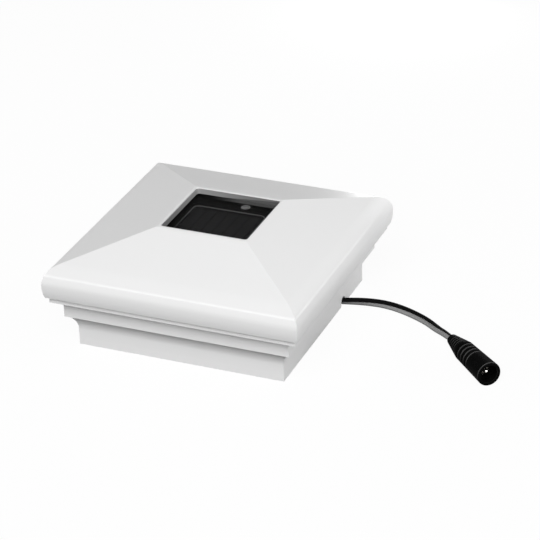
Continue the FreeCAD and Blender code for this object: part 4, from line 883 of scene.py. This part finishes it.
def make_busbars(tree, material):
    """Fine dull collector bars across the cell strips."""
    low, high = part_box("solar_panel")
    count = 9
    end_margin = 2.0 * MM
    side_margin = 2.2 * MM
    half = ((high.x - low.x) / 2 - end_margin, 0.12 * MM, 0.03 * MM)
    bm = bmesh.new()
    for v in bmesh.ops.create_cube(bm, size=2)["verts"]:
        v.co = Vector((v.co.x * half[0], v.co.y * half[1], v.co.z * half[2]))
    bmesh.ops.bevel(bm, geom=bm.edges, offset=0.02 * MM, segments=1)
    bar = solid_object("cell_busbars", bm, material, False)
    pitch = (high.y - low.y - 2 * side_margin) / count
    first = Vector(((low.x + high.x) / 2, low.y + side_margin + pitch / 2,
                    high.z + 0.01 * MM))
    bars = repeat(bar, tree, across=1, along=count, pitch_across=0.0,
                  pitch_along=pitch, first_place=first, finish=material)
    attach(bars, "cap")


# ---------------------------------------------------------------- stage

# The camera, as fitted to the photograph: metres, degrees and millimetres of lens.
CAMERA_PLACE = (0.444107, -0.990532, 0.603310)
CAMERA_YAW = 22.881
CAMERA_PITCH = 28.130
CAMERA_ROLL = -1.580
CAMERA_LENS = 161.85
# Round lamps: where each shines from, its distance, diameter and watts. The last two
# stand low and near, so that they light the far walls and hardly touch the roof.
LAMPS = {
    "key": (Vector((0.12, -0.64, 0.61)), 3.0, 3.0, 116.0),
    "fill": (Vector((2.5, 0.0, 0.5)), 2.6, 0.8, 27.5),
    "back": (Vector((-0.12, 1.0, 0.05)), 0.45, 0.04, 0.32),
    "left": (Vector((-1.0, 0.12, 0.05)), 0.45, 0.04, 0.3)}
WORLD_LIGHT = 0.02
TABLE_SIZE = 6.0
TABLE_BELOW = 0.02 * MM


def make_camera():
    """Look along the fitted yaw and pitch, with the picture rolled about its middle."""
    yaw, pitch, roll = (math.radians(a) for a in (CAMERA_YAW, CAMERA_PITCH, CAMERA_ROLL))
    back = Vector((math.sin(yaw) * math.cos(pitch), -math.cos(yaw) * math.cos(pitch),
                   math.sin(pitch)))
    right = Vector((math.cos(yaw), math.sin(yaw), 0))
    up = back.cross(right)
    tilted_right = right * math.cos(roll) + up * math.sin(roll)
    tilted_up = up * math.cos(roll) - right * math.sin(roll)
    turn = Matrix((tilted_right, tilted_up, back)).transposed().to_4x4()
    data = bpy.data.cameras.new("camera")
    data.lens = CAMERA_LENS
    data.sensor_width = 36
    data.clip_start = 0.05
    data.clip_end = 50
    camera = bpy.data.objects.new("camera", data)
    camera.matrix_world = Matrix.Translation(CAMERA_PLACE) @ turn
    scene.collection.objects.link(camera)
    scene.camera = camera


def make_lamps():
    for name, (direction, distance, wide, watts) in LAMPS.items():
        data = bpy.data.lights.new(name, "AREA")
        data.shape = "DISK"
        data.size = wide
        data.energy = watts
        lamp = bpy.data.objects.new(name, data)
        away = direction.normalized()
        lamp.location = away * distance
        lamp.rotation_mode = "QUATERNION"
        lamp.rotation_quaternion = away.to_track_quat("Z", "Y")
        lamp.visible_camera = False
        scene.collection.objects.link(lamp)


def make_world():
    """White for camera, glossy and transmission rays, and faint light for all others."""
    world = bpy.data.worlds.new("white room")
    world.use_nodes = True
    tree = world.node_tree
    tree.nodes.clear()
    rays = add_node(tree, "ShaderNodeLightPath", {}, {}).outputs
    seen = rays["Is Camera Ray"]
    for kind in ("Is Glossy Ray", "Is Transmission Ray"):
        seen = add_node(tree, "ShaderNodeMath", {"operation": "MAXIMUM"},
                        {0: seen, 1: rays[kind]}).outputs[0]
    faint, white = [
        add_node(tree, "ShaderNodeBackground", {}, {
            "Color": grey(1.0), "Strength": strength}).outputs[0]
        for strength in (WORLD_LIGHT, 1.0)]
    mix = add_node(tree, "ShaderNodeMixShader", {}, {0: seen, 1: faint, 2: white})
    add_node(tree, "ShaderNodeOutputWorld", {}, {"Surface": mix.outputs[0]})
    scene.world = world


def make_floor():
    """The table, just under the cap, with its faces turned up."""
    bm = bmesh.new()
    bmesh.ops.create_grid(bm, x_segments=4, y_segments=4, size=TABLE_SIZE)
    for v in bm.verts:
        v.co.z = -TABLE_BELOW
    floor = solid_object("table", bm, table_top(), False)
    if floor.data.polygons[0].normal.z < 0:
        floor.data.flip_normals()


# ---------------------------------------------------------------- put it together

WHITE = white_moulding()
OPAL = opal()
BLACK = black_moulding()
SEAL = seal_rubber()
BOOT = boot_rubber()
STEEL = screw_steel()
NICKEL = contact_metal()
BOARD = circuit_board()
SLEEVE = cell_sleeve()
CELLS = cell_laminate()
SENSOR = sensor_ceramic()
PHOSPHOR = phosphor()
WIRE = hook_up_wire()

FINISHES = {
    "roof_shell": WHITE, "base_collar": WHITE, "bottom_cover": WHITE, "battery_door": WHITE,
    "light_diffuser": OPAL, "window_lens": smoked_lens(), "window_gasket": window_seal(),
    "cover_gasket": SEAL, "battery_door_seal": SEAL, "panel_tray": BLACK,
    "board_chip": BLACK, "switch_slider": BLACK, "solar_panel": CELLS, "photocell": SENSOR,
    "tray_screws": STEEL, "cover_screws": STEEL, "door_screws": STEEL, "board_screws": STEEL,
    "led_boards": BOARD, "control_board": BOARD, "leds": PHOSPHOR, "battery_cell": SLEEVE,
    "board_capacitor": SLEEVE, "battery_contact_plus": NICKEL, "battery_contact_minus": NICKEL,
    "board_inductor": coil_ferrite(), "wire_sockets": socket_nylon(), "switch_body": NICKEL,
    "cord_gland": BOOT, "connector_boot": BOOT, "connector_sleeve": NICKEL,
    "connector_pin": NICKEL, "output_lead": BOOT, "panel_leads": WIRE, "lamp_leads": WIRE,
    "battery_leads": WIRE}

for node_name, part in parts.items():
    part.data.materials.clear()
    part.data.materials.append(FINISHES[node_name])

copies = grid_of_copies()
make_camera()
make_lead(twin_lead())
make_floor()
make_lamps()
make_world()
make_screws("cover_screw_set", "cover_screws", copies, STEEL, across=2, along=2,
            head_radius=2.8 * MM, head_tall=1.8 * MM)
make_screws("door_screw_pair", "door_screws", copies, STEEL, across=2, along=1,
            head_radius=1.9 * MM, head_tall=1.0 * MM)
make_sensor_track(sensor_track())
make_panel_bezel(tray_edge())
make_busbars(copies, tinned_bar())
